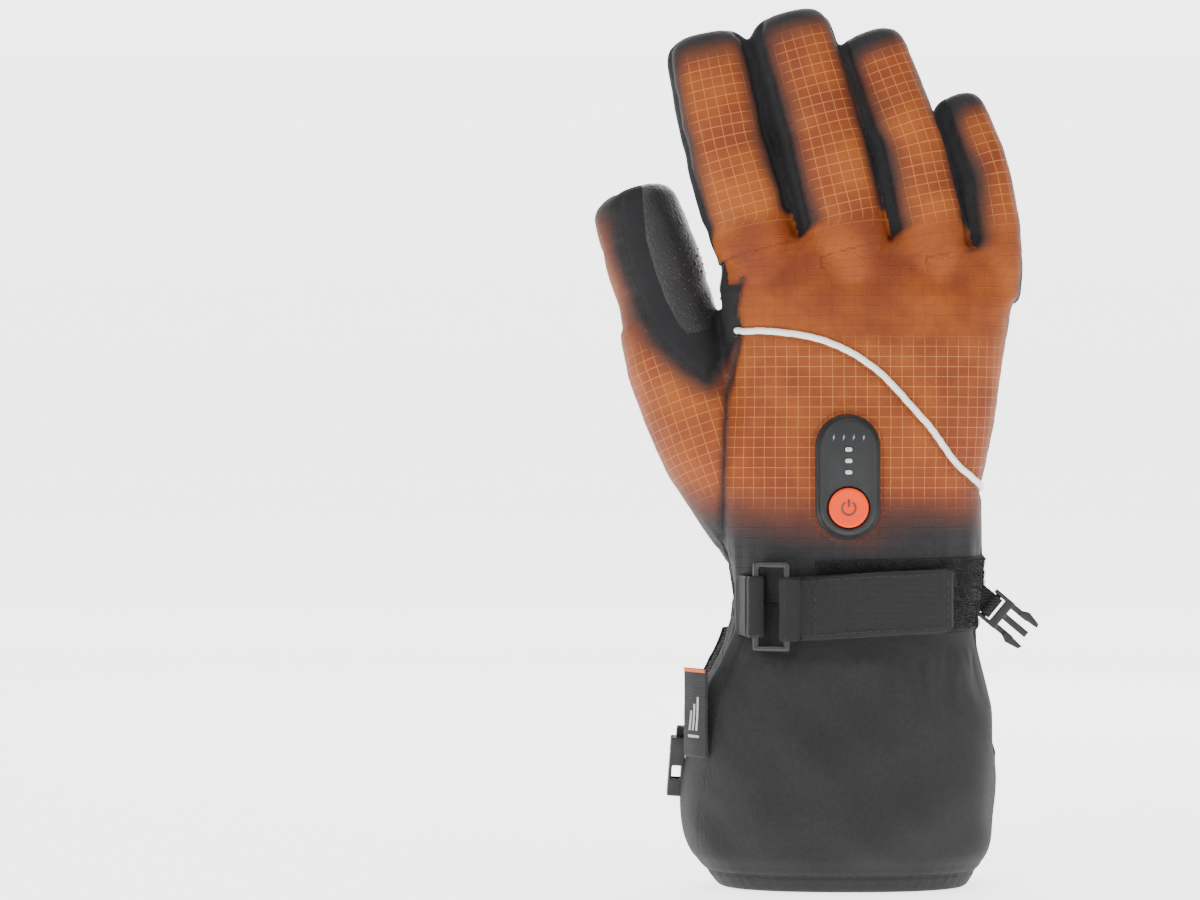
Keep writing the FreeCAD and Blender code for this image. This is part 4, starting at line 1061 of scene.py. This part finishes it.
def addCuff():
    rows = splineRows(cuff["rows"], cuff["perRow"])
    columns = cuff["columns"]
    bm = bmesh.new()

    def place(u, v):
        angle = (u - 0.5) * 2 * math.pi
        p, n = ovalAt(angle, rows[round(v * (len(rows) - 1))])
        return p + n * cuffLift(p.x, p.y, p.z, angle)

    gridMesh(bm, columns, len(rows) - 1, place)
    bmesh.ops.remove_doubles(bm, verts=bm.verts, dist=1e-6)
    mesh = meshFrom(closed(bm), "cuffShell")
    shell = addPiece("cuffShell", mesh, paints["softshell"])
    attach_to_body(shell, "hand")
    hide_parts("cuff_shell_back", "cuff_shell_palm", "hem_binding")
    bm = bmesh.new()
    inner = splineRows(cuff["inner"], 4)

    def inside(u, v):
        p, n = ovalAt((u - 0.5) * 2 * math.pi, inner[round(v * (len(inner) - 1))])
        return p - n * 0.5 * roughness(p, 7)

    gridMesh(bm, 120, len(inner) - 1, inside)
    bmesh.ops.remove_doubles(bm, verts=bm.verts, dist=1e-6)
    top = max(v.co.z for v in bm.verts)
    rim = [e for e in bm.edges if e.is_boundary and e.verts[0].co.z > top - mm]
    bmesh.ops.contextual_create(bm, geom=rim)
    bmesh.ops.recalc_face_normals(bm, faces=bm.faces)
    bmesh.ops.reverse_faces(bm, faces=bm.faces)
    lining = addPiece("cuffLining", meshFrom(bm, "cuffLining"), paints["fleece"])
    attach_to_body(lining, "hand")
    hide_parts("cuff_lining")
    return shell


cuffShell = addCuff()
print("stage: cuff")

skinTree = treeOf(skins["hand"])
gloveTree = treeOf(cuffShell, skins["hand"])


# piping sewn across the back, with the fold of cloth that holds it
def addPiping():
    found = lineOn(skinTree, pipingLine, step=1.2)
    path = [p + n * 0.75 for p, n in found]
    path = [found[0][0] - found[0][1] * 1.5] + path + [found[-1][0] - found[-1][1] * 1.5]
    bm = bmesh.new()
    tube(bm, path, 1.25, 14, Vector((0, 1, 0)))
    piping = addPiece("pipingCord", meshFrom(closed(bm), "pipingCord"), paints["reflective"])
    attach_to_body(piping, "hand")
    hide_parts("reflective_piping")
    line = [(x - 1.3, z - 2.0) for x, z in pipingLine]
    sewn = stitchesAlong(lineOn(skinTree, line, step=0.5), 1.7, 0.9, 0.15)
    copies("pipingStitches", sewn, paints["threadWarm"])


addPiping()

# grip dots pressed into the leather
dots = {"across": 3.1, "along": 3.1, "radius": 0.72, "smallRadius": 0.5, "height": 0.5}


def addDots(group, skin):
    mesh = skin.data
    co, _ = meshArrays(mesh)
    normals = vertexNormals(mesh)
    fields = {}
    for name in ("palmU", "weaveV", "palmSeam", "glow"):
        values = np.empty(len(co), np.float32)
        mesh.attributes[name].data.foreach_get("value", values)
        fields[name] = values
    row = np.round(fields["weaveV"] / dots["along"])
    shift = np.where(row % 2 == 0, 0, dots["across"])
    column = np.round((fields["palmU"] - shift) / (2 * dots["across"]))
    dv = row * dots["along"] - fields["weaveV"]
    du = column * 2 * dots["across"] + shift - fields["palmU"]
    away = np.hypot(du, dv)
    on = (fields["palmSeam"] > 1.4) & (away < 1.1)
    if group == "thumbTip":
        on &= (fields["weaveV"] < 236) | (fields["glow"] > 0.12)
    best = {}
    for i in np.nonzero(on)[0]:
        key = (int(row[i]), int(column[i]))
        if key not in best or away[i] < away[best[key]]:
            best[key] = i
    lit, unlit, centres = [], [], []
    for key in sorted(best):
        i = best[key]
        n = Vector(normals[i]).normalized()
        up = (Vector((0, 0, 1)) - n * n.z).normalized()
        right = up.cross(n) * -1
        p = Vector(co[i]) + right * float(du[i]) + up * float(dv[i])
        if any((p - q).length < 1.9 for q in centres[-60:]):
            continue
        centres.append(p)
        # dots inside the painted glow are larger and take the orange paint, the others the dark paint
        radius = dots["radius"] if fields["glow"][i] > 0.12 else dots["smallRadius"]
        axes = (right * radius, up * radius, n * dots["height"] * radius / dots["radius"])
        (lit if fields["glow"][i] > 0.12 else unlit).append((p + n * 0.05, axes))
    for name, placed, paint in (("Dots", lit, "dot"), ("DarkDots", unlit, "dotDark")):
        if placed:
            attach(copies(group + name, placed, paints[paint], None, sides=8), group)


for group, skin in skins.items():
    addDots(group, skin)
print("stage: piping and dots")

control = {
    "x": 1.3, "z": 154, "size": (21.4, 43.8), "button": (1.3, 142.65), "buttonRadius": 7.35,
    "lights": (155.8, 160, 164.2), "icons": 168.6, "iconStep": 3.7, "sides": 120,
}


def stadiumRing(bm, y, inset, centreZ):
    # seen from the button's centre, so that the same rays reach the hole and the rim
    w, h = control["size"][0] / 2 - inset, control["size"][1] / 2 - inset
    straight = h - w
    ring = bmesh.ops.create_circle(bm, segments=control["sides"], radius=1)["verts"]
    for v in ring:
        dx, dz = v.co.x, v.co.y
        low, high = 0.0, 60.0
        for _ in range(26):
            t = (low + high) / 2
            x, z = dx * t, control["button"][1] + dz * t - centreZ
            inside = math.hypot(x, max(abs(z) - straight, 0)) < w
            low, high = (t, high) if inside else (low, t)
        v.co = Vector((control["x"] + dx * low, y, control["button"][1] + dz * low)) * mm
    return ring


def buttonRing(bm, y, radius):
    ring = bmesh.ops.create_circle(bm, segments=control["sides"], radius=radius)["verts"]
    for v in ring:
        v.co = Vector((control["x"] + v.co.x, y, control["button"][1] + v.co.y)) * mm
    return ring


def pillShape(bm, x, z, halfWide, halfTall, front, back, taper=0.18):
    rings = []
    for y, inset in ((back, 0), (front + taper, 0), (front + taper * 0.3, taper * 0.5), (front, taper)):
        ring = bmesh.ops.create_circle(bm, segments=28, radius=1)["verts"]
        w, h = halfWide - inset, halfTall - inset
        for v in ring:
            c, s = v.co.x, v.co.y
            short = min(w, h)
            wide, tall = math.copysign(w - short, c), math.copysign(h - short, s)
            v.co = Vector((x + c * short + wide, y, z + s * short + tall)) * mm
        rings.append(ring)
    skinRings(bm, rings)


def addControl():
    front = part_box("controller_housing")[0][1] / mm
    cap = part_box("power_button")[0][1] / mm
    bm = bmesh.new()
    rings = [stadiumRing(bm, y, inset, control["z"]) for y, inset in (
        (front + 7.5, -1.4), (front + 4.6, -1.3), (front + 3.9, -0.9), (front + 3.5, -0.1),
        (front + 1.4, 0.0),
        (front + 0.6, 0.25), (front + 0.12, 0.9), (front, 1.8))]
    rings += [buttonRing(bm, y, r) for y, r in (
        (front, control["buttonRadius"] + 1.1), (front + 0.15, control["buttonRadius"] + 0.6),
        (front + 0.6, control["buttonRadius"] + 0.25), (front + 2.4, control["buttonRadius"] + 0.25))]
    skinRings(bm, rings, True, True)
    for z in control["lights"]:
        pillShape(bm, control["x"], z, 1.75, 1.2, front - 0.12, front + 0.5)
    housing = addPiece("controlHousing", meshFrom(closed(bm), "controlHousing"), paints["rubber"])
    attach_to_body(housing, "hand")
    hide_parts("controller_housing")
    bm = bmesh.new()
    for z in control["lights"]:
        pillShape(bm, control["x"], z, 1.38, 0.84, front - 0.2, front + 0.5)
    lights = addPiece("controlLights", meshFrom(closed(bm), "controlLights"), paints["lens"])
    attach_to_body(lights, "hand")
    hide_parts("status_lights")
    bm = bmesh.new()
    bolt = [(0.42, 1.5), (-0.55, -0.2), (-0.05, -0.1), (-0.38, -1.5), (0.58, 0.25), (0.08, 0.15)]
    for i in range(4):
        x0 = control["x"] + (i - 1.5) * control["iconStep"]
        spots = [Vector((x0 + x * 0.8, front - 0.06, control["icons"] + z * 0.8)) for x, z in bolt]
        verts = [bm.verts.new(spot * mm) for spot in spots]
        face = bmesh.ops.contextual_create(bm, geom=verts)["faces"]
        grown = bmesh.ops.extrude_face_region(bm, geom=face)["geom"]
        moved = [g for g in grown if isinstance(g, bmesh.types.BMVert)]
        bmesh.ops.translate(bm, verts=moved, vec=(0, 0.3 * mm, 0))
    icons = addPiece("controlIcons", meshFrom(closed(bm), "controlIcons"), paints["icon"], smooth=False)
    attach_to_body(icons, "hand")
    bm = bmesh.new()
    r = control["buttonRadius"]
    rings = [buttonRing(bm, y, radius) for y, radius in (
        (front + 1.4, r), (cap + 0.7, r), (cap + 0.3, r - 0.12), (cap + 0.05, r - 0.5), (cap, r - 1.1),
        (cap + 0.25, r - 3.0), (cap + 0.38, 1.5))]
    skinRings(bm, rings)
    button = addPiece("controlButton", meshFrom(closed(bm), "controlButton"), paints["button"])
    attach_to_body(button, "power_button")
    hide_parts("power_button")
    bm = bmesh.new()
    arc = [Vector((control["x"] + 2.5 * math.sin(math.radians(a)), cap + 0.22, control["button"][1] - 0.2
                   + 2.5 * math.cos(math.radians(a)))) for a in range(35, 326, 10)]
    tube(bm, arc, 0.3, 8, Vector((0, 1, 0)))
    bar = [Vector((control["x"], cap + 0.2, control["button"][1] + z)) for z in (0.3, 1.2, 2.1, 3.0)]
    tube(bm, bar, 0.3, 8, Vector((0, 1, 0)))
    symbol = addPiece("controlSymbol", meshFrom(closed(bm), "controlSymbol"), paints["symbol"])
    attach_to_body(symbol, "power_button")
    ring = []
    for k in range(181):
        a = 2 * math.pi * k / 180
        w, h = control["size"][0] / 2 + 2.6, control["size"][1] / 2 + 2.6
        x, z = math.sin(a) * w, math.cos(a) * w + math.copysign(h - w, math.cos(a))
        got = hit(skinTree, (control["x"] + x, -120, control["z"] + z), (0, 1, 0))
        if got:
            ring.append(got)
    copies("controlStitches", stitchesAlong(ring, 1.8, 0.8, 0.16), paints["threadWarm"])


addControl()
print("stage: controller")

strap = {
    "low": 93.3, "high": 117.0, "rise": 3.4, "right": 40.5, "thick": 1.5, "bar": (-21.4, -28.8), "wrap": 2.25,
    "anchorBar": (-32.6, -24.6), "panel": (-30, 96), "panelLow": 96.5, "panelHigh": 124.5,
}
strapTree = treeOf(bpy.data.objects["strap_flap"], bpy.data.objects["hook_patch"])


def strapFront(x):
    got = hit(strapTree, (x, -120, 106), (0, 1, 0))
    return got[0].y if got else strap["bar"][1]


def foldedBand(bm, path, thick, low, high, rows, amount=0.25, slant=0.0, seed=0.0):
    # a band whose plan is a path and which stands between two heights, with rounded edges
    lengths = [0]
    for a, b in zip(path, path[1:]):
        lengths.append(lengths[-1] + (b - a).length)
    total = lengths[-1]

    def at(t):
        run = t * total
        i = max(k for k in range(len(path)) if lengths[k] <= run + 1e-9)
        i = min(i, len(path) - 2)
        s = (run - lengths[i]) / (lengths[i + 1] - lengths[i])
        ahead = (path[min(i + 2, len(path) - 1)] - path[i]).normalized()
        before = (path[i + 1] - path[max(i - 1, 0)]).normalized()
        along = before.lerp(ahead, s).normalized()
        return path[i].lerp(path[i + 1], s), Vector((along.y, -along.x, 0))

    def front(s, t):
        place, normal = at(s)
        bottom, top = low(place, s), high(place, s)
        corner = max(0, (s - 1) * total + 3.5) / 3.5 if slant else 0
        trim = slant * corner ** 2
        place = Vector((place.x, place.y, bottom + trim + (top - bottom - 2 * trim) * t))
        wave = amount * roughness(place, 11, seed)
        return place + normal * (thick / 2 + wave), normal

    slab(bm, max(20, round(total / 0.9)), rows, front, thick, 0.45)
    return front


def addStrap():
    bar, wrap = Vector((*strap["bar"], 0)), strap["wrap"]
    half = strap["thick"] / 2
    under = [Vector((x, bar.y + wrap + (x - bar.x) * 0.05, 0)) for x in (-11, -13, -15.2, -17.5)]
    turn = [bar + Vector((math.cos(a), math.sin(a), 0)) * wrap for a in np.radians(np.arange(90, 271, 15))]
    front = []
    for x in np.arange(strap["bar"][0] + 2.5, strap["right"] + 0.1, 2.2):
        front.append(Vector((x, strapFront(min(x, 38.5)) + half - 0.25 - (0.35 if x > 36 else 0), 0)))
    path = under + turn + front
    path = [Vector(p) for p in path]
    bm = bmesh.new()
    rise = lambda p, s: max(0.0, (p.x + 20) / 60) * strap["rise"] * float(smoothStep(0.18, 0.3, s))
    bottom = lambda p, s: strap["low"] + rise(p, s) + 0.25 * math.sin(p.x / 7)
    top = lambda p, s: strap["high"] + rise(p, s) + 0.2 * math.sin(p.x / 9 + 1)
    face = foldedBand(bm, path, strap["thick"], bottom, top, 26, 0.28, 1.9, 3.0)
    flap = addPiece("strapTail", meshFrom(bm, "strapTail"), paints["strap"])
    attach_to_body(flap, "strap_flap")
    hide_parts("strap_flap", "hook_patch")
    lines = [[face(s, t) for s in np.linspace(0.3, 0.975, 260)] for t in (0.075, 0.925)]
    lines += [[face(s, t) for t in np.linspace(0.08, 0.92, 60)] for s in (0.36, 0.972)]
    threads = [made for line in lines for made in stitchesAlong(line, 2.1, 0.8, 0.2)]
    copies("strapStitches", threads, paints["thread"], "strap_flap")
    bar = Vector((*strap["anchorBar"], 0))
    turn = [bar + Vector((math.cos(a), math.sin(a), 0)) * wrap for a in np.radians(np.arange(90, -91, -15))]
    seat = lambda x, off: Vector((x, hit(gloveTree, (x, -120, 104), (0, 1, 0))[0].y - off, 0))
    outer = [Vector((-35, bar.y - wrap - 0.2, 0)), seat(-36.8, 2.4), seat(-38.4, 2.0), seat(-39.8, 1.7)]
    inner = [seat(-38, 0.4), Vector((-36, bar.y + wrap - 0.6, 0))]
    bm = bmesh.new()
    face = foldedBand(bm, inner + turn + outer, 1.4, lambda p, s: 94.6, lambda p, s: 117.2, 22, 0.2, 0, 7.0)
    anchor = addPiece("strapAnchorBand", meshFrom(bm, "strapAnchorBand"), paints["strap"])
    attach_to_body(anchor, "hand")
    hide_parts("strap_anchor")


def addLoopPanel():
    rows = {"low": strap["panelLow"], "high": strap["panelHigh"]}
    bm = bmesh.new()

    def face(s, t):
        angle = math.radians(strap["panel"][0] + (strap["panel"][1] - strap["panel"][0]) * s)
        z = rows["low"] + (rows["high"] - rows["low"]) * t - 1.6 * (1 - s)
        outward = Vector((math.sin(angle), -math.cos(angle), 0))
        got = hit(gloveTree, Vector((5, 2, z)) + outward * 120, -outward)
        place, normal = got if got else (Vector((5, 2, z)) + outward * 40, outward)
        normal = (normal * 0.3 + outward * 0.7).normalized()
        return place + outward * (0.9 + 0.28 * roughness(place, 1.1, 2.0)), normal

    slab(bm, 150, 48, face, 1.3, 0.5)
    panel = addPiece("loopPanel", meshFrom(bm, "loopPanel"), paints["fuzz"])
    co, edges = meshArrays(panel.data)
    panel.data.vertices.foreach_set("co", (relax(co, edges, 1, 0.7) * mm).ravel())
    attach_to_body(panel, "hand")
    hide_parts("strap_loop_panel")
    placed = []
    for _ in range(5200):
        place, normal = face(random.uniform(0.02, 0.985), random.uniform(0.04, 0.97))
        a, r = random.uniform(0, 2 * math.pi), random.uniform(0.12, 0.2)
        side = normal.orthogonal().normalized()
        lean3 = (side * math.cos(a) + normal.cross(side) * math.sin(a)) * random.uniform(0.2, 0.8)
        z = (normal + lean3).normalized()
        x = z.orthogonal().normalized()
        placed.append((place + z * 0.25, (x * r, z.cross(x) * r, z * random.uniform(0.35, 0.65))))
    copies("loopTufts", placed, paints["fuzz"], kind="tuft", sides=3)


addStrap()
addLoopPanel()
print("stage: wrist strap")

# moulded and metal parts: the mechanical shapes, with their edges rounded as in a mould
hardware = [
    ("strap_ring", "strap_ring", "plastic", "buckle_plastic", 0.25),
    ("clip_plug", "clip_plug", "plastic", "buckle_plastic", 0.22),
    ("clip_socket", "clip_socket", "plastic", "buckle_plastic", 0.22),
    ("cord_lock_body", "hand", "plastic", "buckle_plastic", 0.2),
    ("cord_lock_button", "cord_lock_button", "plastic", "buckle_plastic", 0.2),
    ("zip_slider", "zip_slider", "metal", "slider_metal", 0.17),
    ("zip_pull_wire", "zip_pull", "metal", "slider_metal", 0.14),
    ("zip_pull_tab", "zip_pull", "pull", "pull_rubber", 0.2),
    ("plug_webbing", "hand", "webbing", "strap_webbing", 0.3),
    ("socket_webbing", "hand", "webbing", "strap_webbing", 0.3),
    ("cord_lock_tab", "hand", "webbing", "strap_webbing", 0.3),
    ("hem_eyelets", "hand", "metal", "slider_metal", 0.2)]
for node, body, paint, slotName, voxel in hardware:
    soft = paint == "webbing"
    softened(node, body, paints[paint], voxel, 4 if soft else 2, 0.22 if soft else 0)
print("stage: hardware")


def addZip():
    z3 = cuff["zip"]
    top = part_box("zip_chain")[1][1] / mm
    back = z3["front"] - top
    bm = bmesh.new()

    def tape(s, t):
        x = (s - 0.5) * 2 * 48.5
        across = (t - 0.5) * 11
        place = Vector((x, zipFront(x) - back - 0.9 - 0.03 * abs(across), zipHeight(x) + across))
        outward = Vector((x / z3["radius"], 1, 0)).normalized()
        return place + outward * 0.12 * roughness(place, 5), outward

    slab(bm, 130, 14, tape, 0.7, 0.1)
    band = addPiece("zipTapes", meshFrom(bm, "zipTapes"), paints["tape"])
    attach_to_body(band, "hand")
    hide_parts("zip_tape")
    placed, x, side = [], -46.0, 1
    while x < 46:
        outward = Vector((x / z3["radius"], 1, 0)).normalized()
        middle = Vector((x, zipFront(x) - back - 0.55, zipHeight(x) + side * 0.75))
        placed.append((middle, (Vector((0.5, 0, 0.06)), outward * 0.62, Vector((0, 0, 1.45)))))
        x, side = x + 0.72, -side
    teeth = copies("zipTeeth", placed, paints["nylon"])
    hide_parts("zip_chain")
    tree = treeOf(cuffShell)
    edge = []
    for height in (z3["window"] + 2.2, -z3["window"] - 2.2):
        line = [(x, zipHeight(x) + height) for x in np.linspace(-50, 50, 30)]
        edge += stitchesAlong(lineOn(tree, line, True, 0.5, False), 2.2, 0.8, 0.17)
    for x in (-51.5, 51):
        line = [(x, zipHeight(x) + t) for t in (-6.4, -3, 0, 3, 6.4)]
        edge += stitchesAlong(lineOn(tree, line, True, 0.5, False), 2.0, 0.7, 0.17)
    copies("zipStitches", edge, paints["thread"])


addZip()

label = {"start": (-58.8, -7), "end": (-50.6, -20.8), "low": 49.4, "high": 82.6, "thick": 0.9}


def addLabel():
    a, b = Vector((*label["start"], 0)), Vector((*label["end"], 0))
    out = Vector(((b - a).y, -(b - a).x, 0)).normalized()
    if out.y > 0:
        out = -out

    def face(s, t):
        place = a.lerp(b, s) + Vector((0, 0, label["low"] + (label["high"] - label["low"]) * t))
        bow = 0.7 * math.sin(math.pi * s) * (0.3 + 0.7 * (1 - t)) + 0.3 * roughness(place, 9)
        return place + out * (label["thick"] / 2 + bow), out

    bm = bmesh.new()
    slab(bm, 26, 50, face, label["thick"], 0.25)
    piece = addPiece("wovenLabel", meshFrom(bm, "wovenLabel"), paints["labelWeave"])
    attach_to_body(piece, "hand")
    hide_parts("side_label")

    def patch(name, corners, paint):
        # a raised patch of thread: two corners given as shares of the label's width and height, with a slant
        bm = bmesh.new()
        (s0, t0), (s1, t1), slant = corners
        place = lambda s, t: face(s0 + (s1 - s0) * s + slant * t, t0 + (t1 - t0) * t)
        slab(bm, 8, 12, lambda s, t: (place(s, t)[0] + out * 0.16, out), 0.3, 0.1)
        made = addPiece(name, meshFrom(bm, name), paints[paint])
        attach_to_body(made, "hand")

    patch("labelTop", ((0.02, 0.955), (0.98, 0.995), 0), "labelEdge")
    for i in range(3):
        lowCorner, highCorner = (0.28 + 0.15 * i, 0.3), (0.36 + 0.15 * i, 0.52 + 0.08 * i)
        patch(f"labelBar{i}", (lowCorner, highCorner, 0.05), "labelThread")
    patch("labelRule", ((0.26, 0.22), (0.74, 0.25), 0), "labelThread")


addLabel()
print("stage: zip and label")

cords = {
    "strand_a": ([(46.7, 36.3, 21), (46.7, 36.3, 11), (44.6, 39.2, 4.4), (37.0, 44.4, 2.2), (27.4, 46.2, 2.0),
                  (19.6, 43.2, 3.4), (16.2, 37.4, 5.2)], "drawcord_strand_a", 50.0),
    "strand_b": ([(49.3, 34.5, 21), (49.3, 34.5, 11), (51.4, 38.6, 4.4), (47.6, 47.6, 1.9), (37.4, 53.4, 1.7),
                  (25.4, 54.0, 1.8), (15.2, 49.6, 2.0), (9.8, 43.4, 3.4), (9.2, 38.0, 5.2)],
                 "drawcord_strand_b", 73.5),
    "radius": 1.1,
}


def addCord(name):
    points, node, length = cords[name]
    data = bpy.data.curves.new(name, "CURVE")
    data.dimensions, data.bevel_depth, data.bevel_resolution = "3D", cords["radius"] * mm, 5
    data.resolution_u, data.use_fill_caps = 10, True
    spline = data.splines.new("NURBS")
    spline.points.add(len(points) - 1)
    for point, place in zip(spline.points, points):
        point.co = (*[c * mm for c in place], 1)
    spline.order_u, spline.use_endpoint_u = 3, True
    cord = bpy.data.objects.new(name, data)
    scene.collection.objects.link(cord)
    data.materials.append(paints["cord"])
    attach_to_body(cord, "hand")
    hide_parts(node)
    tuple(spline.points[-1].co[:3])


for name in ("strand_a", "strand_b"):
    addCord(name)


# thread lines: hem, wrist elastic, cuff side seam, thumb and palm panels
def addSeams():
    shellTree, threads, warm = treeOf(cuffShell), [], []
    hem = ringOn(shellTree, (0, 3), cuff["hemLine"], -180, 180, 0.5)
    threads += stitchesAlong(hem, 2.3, 0.9, 0.2)
    for level in (103.2, 112.8):
        row = ringOn(gloveTree, (5, 2), level, 66, 288, 0.5, 42)
        step = 5
        points = [(p + Vector((0, 0, 2.0 if i % 2 else -2.0)), n) for i, (p, n) in enumerate(row[::step])]
        for (p, n), (q, m) in zip(points, points[1:]):
            line = [(p.lerp(q, t), n.lerp(m, t)) for t in np.linspace(0, 1, 7)]
            seated = [hit(gloveTree, a + b * 6, -b) or (a, b) for a, b in line]
            threads += stitchesAlong(seated, (q - p).length * 0.94, 0.1, 0.2)
    side = [(x, z) for x, z in cuff["sideSeam"]]
    threads += stitchesAlong(lineOn(shellTree, side, step=0.5), 2.2, 0.8, 0.18)
    threads += stitchesAlong(lineOn(skinTree, thumbHandSeam[2:7], step=0.5), 2.0, 0.7, 0.16)
    for seam in (thumbPalmSeam[2:], thumbStripSeam[2:], thumbInsetSeam):
        warm += stitchesAlong(lineOn(skinTree, seam, True, 0.5), 2.0, 0.7, 0.17)
    warm += stitchesAlong(lineOn(skinTree, [(-13, 141.2), (14, 140), (44, 138.6)], True, 0.5), 2.0, 0.7, 0.17)
    copies("darkThreads", threads, paints["thread"])
    copies("warmThreads", warm, paints["threadWarm"])


addSeams()


# the smooth patch over the end of the index finger
def addTouchPatch():
    d, skin = frames["index"], skins["indexUpper"]
    bm = bmesh.new()
    bm.from_mesh(skin.data)
    palm = bm.verts.layers.float["palmSeam"]
    low, high = d.k + d.axes1[2] * 27.5, d.m + d.axes2[2] * 27.5
    for point, away in ((low, -d.axes1[2]), (high, d.axes2[2])):
        geom = bm.verts[:] + bm.edges[:] + bm.faces[:]
        bmesh.ops.bisect_plane(bm, geom=geom, plane_co=point * mm, plane_no=away, clear_outer=True, dist=1e-7)
    bmesh.ops.delete(bm, geom=[v for v in bm.verts if v[palm] < 1.2], context="VERTS")
    rim = {v for e in bm.edges if e.is_boundary for v in e.verts}
    for v in bm.verts:
        n = v.normal.copy()
        v.co += n * (-0.3 if v in rim else 0.5 + 0.25 * roughness(v.co / mm, 5, 4)) * mm
    mesh = meshFrom(bm, "touchPatch")
    co, edges = meshArrays(mesh)
    mesh.vertices.foreach_set("co", (relax(co, edges, 2, 0.7) * mm).ravel())
    patch = addPiece("touchPatch", mesh, touchPaint())
    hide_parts("index_touch_patch")
    attach(patch, "indexUpper")


def touchPaint():
    paint, tree, shader = newPaint("touchLeather", 0.3, Specular_IOR_Level=0.6)
    hide = mixColour(tree, ramp(tree, cloudy(tree, 90, 3), 0.35, 0.65), fromHex("55270a"), fromHex("84481a"))
    across, along = attribute(tree, "palmU"), attribute(tree, "weaveV")
    grid = calc(tree, "MAXIMUM", gridLine(tree, across, 4.6, 0.4), gridLine(tree, along, 4.1, 0.4))
    useColour(tree, shader, mixColour(tree, calc(tree, "MULTIPLY", grid, 0.55), hide, fromHex("dba26a")))
    addBump(tree, shader, cells(tree, 1100), 0.06, 0.6)
    addBump(tree, shader, cloudy(tree, 170, 3), 0.35, 0.5)
    return paint


addTouchPatch()

# inside parts that the layers cover
for node in ("controller_board", "heating_cord", "battery_pack", "battery_pocket", "battery_plug"):
    part = bpy.data.objects[node]
    part.data.materials.clear()
    part.data.materials.append(paints["fleece" if node == "battery_pocket" else "hidden"])
print("stage: cords, seams and patch")
